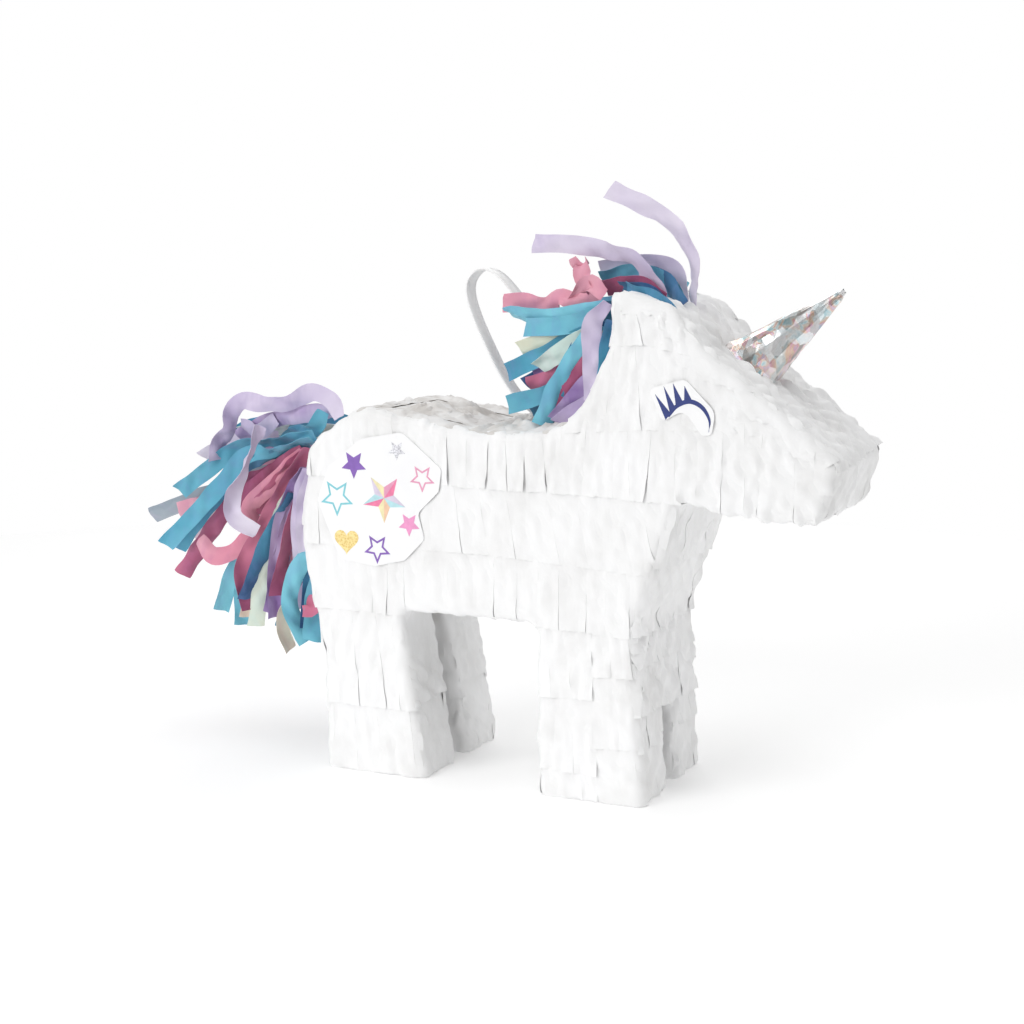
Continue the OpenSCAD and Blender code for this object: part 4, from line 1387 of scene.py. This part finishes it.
TAIL_HEROES = [
    # lilac loops above the rump
    ("lilac", 0.55, (-20, -12), (30, 10, 0, 30, 20, 0, 10, 40, 30, 20),
     [(-43.5, 102), (-46, 107), (-53, 109.5), (-61, 106), (-70, 105.3), (-78, 106), (-82.4, 102),
      (-83, 97), (-87, 93), (-88.2, 87)]),
    ("lilac", 0.35, (-18, -8), (20, 0, 20, 10), [(-45, 104), (-57, 102.5), (-68, 100), (-79.5, 94.6)]),
    ("lilac", 0.65, (-24, -23.5), (20, 72, 72, 20, 0, 30),
     [(-72, 98.5), (-75, 92), (-78.3, 85), (-82.5, 76), (-82, 69), (-74, 64.3)]),
    ("lilac", 0.60, (-13, -11), (0, 30, 60), [(-66, 101), (-72, 97), (-78.5, 99)]),
    # blue strips, from edge-on at the rump to flat at their ends
    ("blue", 0.45, (-20, -12), (0, 20, 40), [(-49, 104), (-53, 98), (-60, 97)]),
    ("blue", 0.60, (-18, -8), (20, 60, 30, 0, 10),
     [(-52, 96.5), (-66, 94), (-80, 91.6), (-91, 84), (-102.5, 76.2)]),
    ("blue", 0.55, (-19, -14), (50, 60, 10, 0, 0, 0),
     [(-53, 95), (-66, 91), (-77, 89), (-86, 80), (-96, 70), (-108.5, 58.3)]),
    ("blue", 0.28, (-17, -10), (60, 40, 10, 5), [(-54, 93), (-76, 86.4), (-91, 73), (-104, 57.5)]),
    ("blue", 0.75, (-8, 4), (0, 20, 10), [(-52, 99), (-60, 97), (-67, 99.5)]),
    # grey, mauve and pink to the rear
    ("pearl", 0.02, (-8, 6), (20, 0, 10), [(-66, 85), (-88, 77.5), (-113.5, 67.6)]),
    ("pink", 0.05, (-18, -4), (30, 10, 0, 0), [(-56, 92), (-70, 82), (-85, 71), (-102.5, 49)]),
    ("pink", 0.70, (-14, 0), (30, 10, 10), [(-57, 90), (-78, 78), (-103, 70)]),
    ("pink", 0.55, (-20, -10), (30, 10, 0, 20, 0, 0, 40),
     [(-56, 91), (-67, 81), (-76, 73), (-75, 66), (-81, 59), (-90, 56), (-95.5, 61)]),
    ("pink", 0.20, (-21.5, -16), (40, 30, 10, 0, 0, 10),
     [(-55, 92.5), (-62, 82), (-68, 72), (-74, 62), (-79.5, 52), (-77, 39.5)]),
    ("pink", 0.12, (-21, -15), (50, 40, 20), [(-55, 92), (-65, 82), (-75, 71)]),
    ("pink", 0.02, (-17, -8), (40, 20, 10), [(-55, 91), (-68, 84), (-83.5, 78)]),
    ("pearl", 0.30, (-6, 0), (30, 10, 0), [(-76, 78), (-88, 69), (-98, 62)]),
    # violet and lilac hanging along the rump
    ("lilac", 0.05, (-22, -18), (20, 10, 0, 10), [(-55.5, 86), (-62.5, 74), (-66.5, 58), (-67.5, 38)]),
    ("lilac", 0.12, (-20, -16), (10, 20, 0), [(-57, 82), (-64, 62), (-69, 39)]),
    ("lilac", 0.42, (-23, -20), (20, 0, 0), [(-54.6, 86), (-58, 72), (-57.6, 55)]),
    ("lilac", 0.50, (-23.5, -22), (10, 0, 10), [(-53.5, 84), (-56.3, 74), (-56, 60)]),
    ("pink", 0.00, (-21, -20), (10, 50, 10), [(-57, 78), (-63.2, 62), (-66.8, 45)]),
    ("blue", 0.92, (-22, -18), (10, 0, 15, 30), [(-55.5, 60), (-61, 50), (-62, 41), (-56.5, 31)]),
    ("blue", 0.02, (-19, -16), (10, 0, 10), [(-53.5, 60), (-54.5, 48), (-56, 34)]),
    ("blue", 0.70, (-20, -19), (10, 30, 0), [(-52.6, 52), (-54.5, 41), (-54.5, 31.5)]),
    ("blue", 0.95, (-12, -8), (10, 0, 20), [(-72, 68), (-82, 53), (-88, 38.5)]),
    ("blue", 0.80, (-10, -4), (10, 0, 20), [(-70, 62), (-79, 47), (-80, 34.5)]),
    ("pearl", 0.60, (-19, -14), (20, 0, 0), [(-60, 80), (-70, 58), (-75, 34.5)]),
    ("pearl", 0.35, (-17, -12), (20, 0, 10), [(-62, 76), (-73.5, 52), (-78, 37)]),
    ("blue", 0.08, (-21, -17), (60, 30, 40), [(-60, 78), (-70, 62), (-78.5, 43)]),
    ("pearl", 0.45, (-17, -16), (60, 30, 50), [(-60, 52), (-65, 36), (-62.5, 27.8)]),
    ("pink", 0.30, (-22, -21), (20, 0, 50), [(-57.5, 40.5), (-54.2, 41.6), (-52.6, 45.5)]),
]


MANY = ["blue", "blue", "pink", "lilac", "pearl"]

# Runs of strips out of view: roots from and to x, z, headings in degrees, lengths, depths y, count, colours
MANE_RUNS = [
    ((53.8, 138.0), (49.5, 121.0), (165, 205), (20, 34), (-6, 22), 26, MANY),
    ((49.5, 121.0), (43.6, 107.0), (175, 215), (12, 20), (-6, 22), 18, MANY),
    ((62.0, 141.6), (56.0, 142.8), (150, 182), (8, 15), (3, 21), 9, ["blue", "lilac", "pink", "blue"]),
]
TAIL_RUNS = [
    ((-38.0, 100.5), (-42.0, 90.0), (168, 200), (40, 58), (-4, 21), 14, MANY),
    ((-42.0, 90.0), (-42.6, 70.0), (190, 225), (32, 50), (-4, 21), 20, MANY),
    ((-42.6, 70.0), (-40.5, 54.0), (215, 245), (20, 32), (-8, 21), 14, MANY),
]
FILLER_STEPS = 5


def filler_strips(gathered, runs, rng):
    """Plain runs of strips that fill out the mane or tail behind and beyond those in view."""
    for (x0, z0), (x1, z1), headings, lengths, depths, count, colours in runs:
        for k in range(count):
            share = (k + rng.uniform(0.2, 0.8)) / count
            colour = colours[int(rng.integers(len(colours)))]
            y = rng.uniform(*depths)
            heading = rng.uniform(*headings)
            droop = rng.uniform(10, 45)
            length = rng.uniform(*lengths)
            splay = rng.uniform(-8, 8) + y * 0.25
            point = np.array([x0 + (x1 - x0) * share, y, z0 + (z1 - z0) * share])
            points = [point]
            for step in range(FILLER_STEPS):
                angle = math.radians(heading + droop * (step + 0.5) / FILLER_STEPS)
                side = math.radians(splay * (step + 0.5) / FILLER_STEPS * 1.4)
                way = np.array([math.cos(angle) * math.cos(side), math.sin(side),
                                math.sin(angle) * math.cos(side)])
                point = point + way * length / FILLER_STEPS
                points.append(point)
            rolls = rng.uniform(-65, 65, 4)
            strip(gathered[colour], np.array(points), rolls, rng, rng.uniform(0.05, 0.95))


def mane_and_tail(colours):
    """The cut strips of the mane and tail, one piece for each colour of each."""
    rng = np.random.default_rng(RNG_SEED + 700)
    for part, heroes, runs in (("mane", MANE_HEROES, MANE_RUNS), ("tail", TAIL_HEROES, TAIL_RUNS)):
        gathered = {colour: Sheets() for colour in colours}
        hero_strips(gathered, heroes, rng)
        filler_strips(gathered, runs, rng)
        for colour, sheets in gathered.items():
            sheets.piece(f"{part}_{colour}_strips", colours[colour], f"strip_{colour}",
                         replaces=[f"{part}_{colour}"], thickness=STRIP_T)


# ---------------------------------------------------------------- stage and light

def area_light(name, location, size, power):
    """A soft square light that looks at the middle of the pinata, with positions in metres."""
    data = bpy.data.lights.new(name, "AREA")
    data.shape = "SQUARE"
    data.size = size
    data.energy = power
    light = bpy.data.objects.new(name, data)
    light.location = location
    aim = Vector(LIT_MIDDLE) - Vector(location)
    light.rotation_euler = aim.to_track_quat("-Z", "Y").to_euler()
    bpy.context.scene.collection.objects.link(light)


def stage():
    """A plain pale floor, and soft light from the right, above, behind and the front."""
    mesh = bpy.data.meshes.new("floor")
    turns = [math.tau * i / FLOOR_SIDES for i in range(FLOOR_SIDES)]
    rim = [(FLOOR_R * math.cos(turn), FLOOR_R * math.sin(turn), 0.0) for turn in turns]
    mesh.from_pydata(rim, [], [range(FLOOR_SIDES)])
    mesh.materials.append(floor_material())
    floor = link("floor", mesh)
    area_light("key", (-0.45, -1.1, 0.50), 0.7, KEY_POWER)
    area_light("overhead", (0.1, -0.2, 1.2), 1.0, TOP_POWER)
    area_light("back", (-0.3, 0.9, 0.9), 0.8, BACK_POWER)
    area_light("front", (0.95, 0.42, 0.35), 0.45, FRONT_POWER)


def surround():
    """A white background that lights the scene less than it shows."""
    world = bpy.data.worlds.new("surround")
    world.use_nodes = True
    tree = world.node_tree
    background = tree.nodes["Background"]
    background.inputs["Color"].default_value = WHITE
    background.inputs["Strength"].default_value = SURROUND_LIGHT
    backdrop = tree.nodes.new("ShaderNodeBackground")
    backdrop.inputs["Color"].default_value = WHITE
    chosen = tree.nodes.new("ShaderNodeMixShader")
    rays = tree.nodes.new("ShaderNodeLightPath")
    tree.links.new(rays.outputs["Is Camera Ray"], chosen.inputs[0])
    tree.links.new(background.outputs[0], chosen.inputs[1])
    tree.links.new(backdrop.outputs[0], chosen.inputs[2])
    tree.links.new(chosen.outputs[0], tree.nodes["World Output"].inputs["Surface"])
    bpy.context.scene.world = world
    bpy.context.scene.view_settings.view_transform = "Standard"


# ---------------------------------------------------------------- the whole pinata


def dress_card(card):
    """The card parts keep their CAD shape and get the board's material."""
    for subpart in frame["record"]["subparts"]:
        if subpart["material_slot"] != "card":
            continue
        mesh = frame["nodes"][subpart["node"]].data
        mesh.materials.clear()
        mesh.materials.append(card)


set_camera()
ribbon(satin_material())
tissue_white = tissue_material("white_tissue")
dress_card(card_material())
for side_of_body in SIDES:
    side_rows(side_of_body, tissue_white)
    for leg in ("front", "hind"):
        leg_fringe(leg, side_of_body, tissue_white)
narrow_faces(tissue_white)
for side_of_body in SIDES:
    face_border(side_of_body, tissue_white)
# The back's tissue is darkened by blotches of painted shade, partly the board showing through.
back_and_flap(tissue_material("thin_tissue_painted_shade", 0.75))
stickers()
horn(foil_material())
mane_and_tail({
    "blue": strip_material("strip_blue", (0.03, 0.10, 0.25), (0.08, 0.36, 0.52), (0.20, 0.56, 0.68),
                           (0.20, 0.28, 0.62)),
    "lilac": strip_material("strip_lilac", (0.28, 0.17, 0.42), (0.56, 0.48, 0.68), (0.78, 0.73, 0.83),
                            (0.80, 0.72, 0.86)),
    "pink": strip_material("strip_pink", (0.34, 0.07, 0.16), (0.70, 0.22, 0.33), (0.80, 0.44, 0.52),
                           (0.50, 0.16, 0.36)),
    "pearl": pearl_material(),
})
stage()
surround()
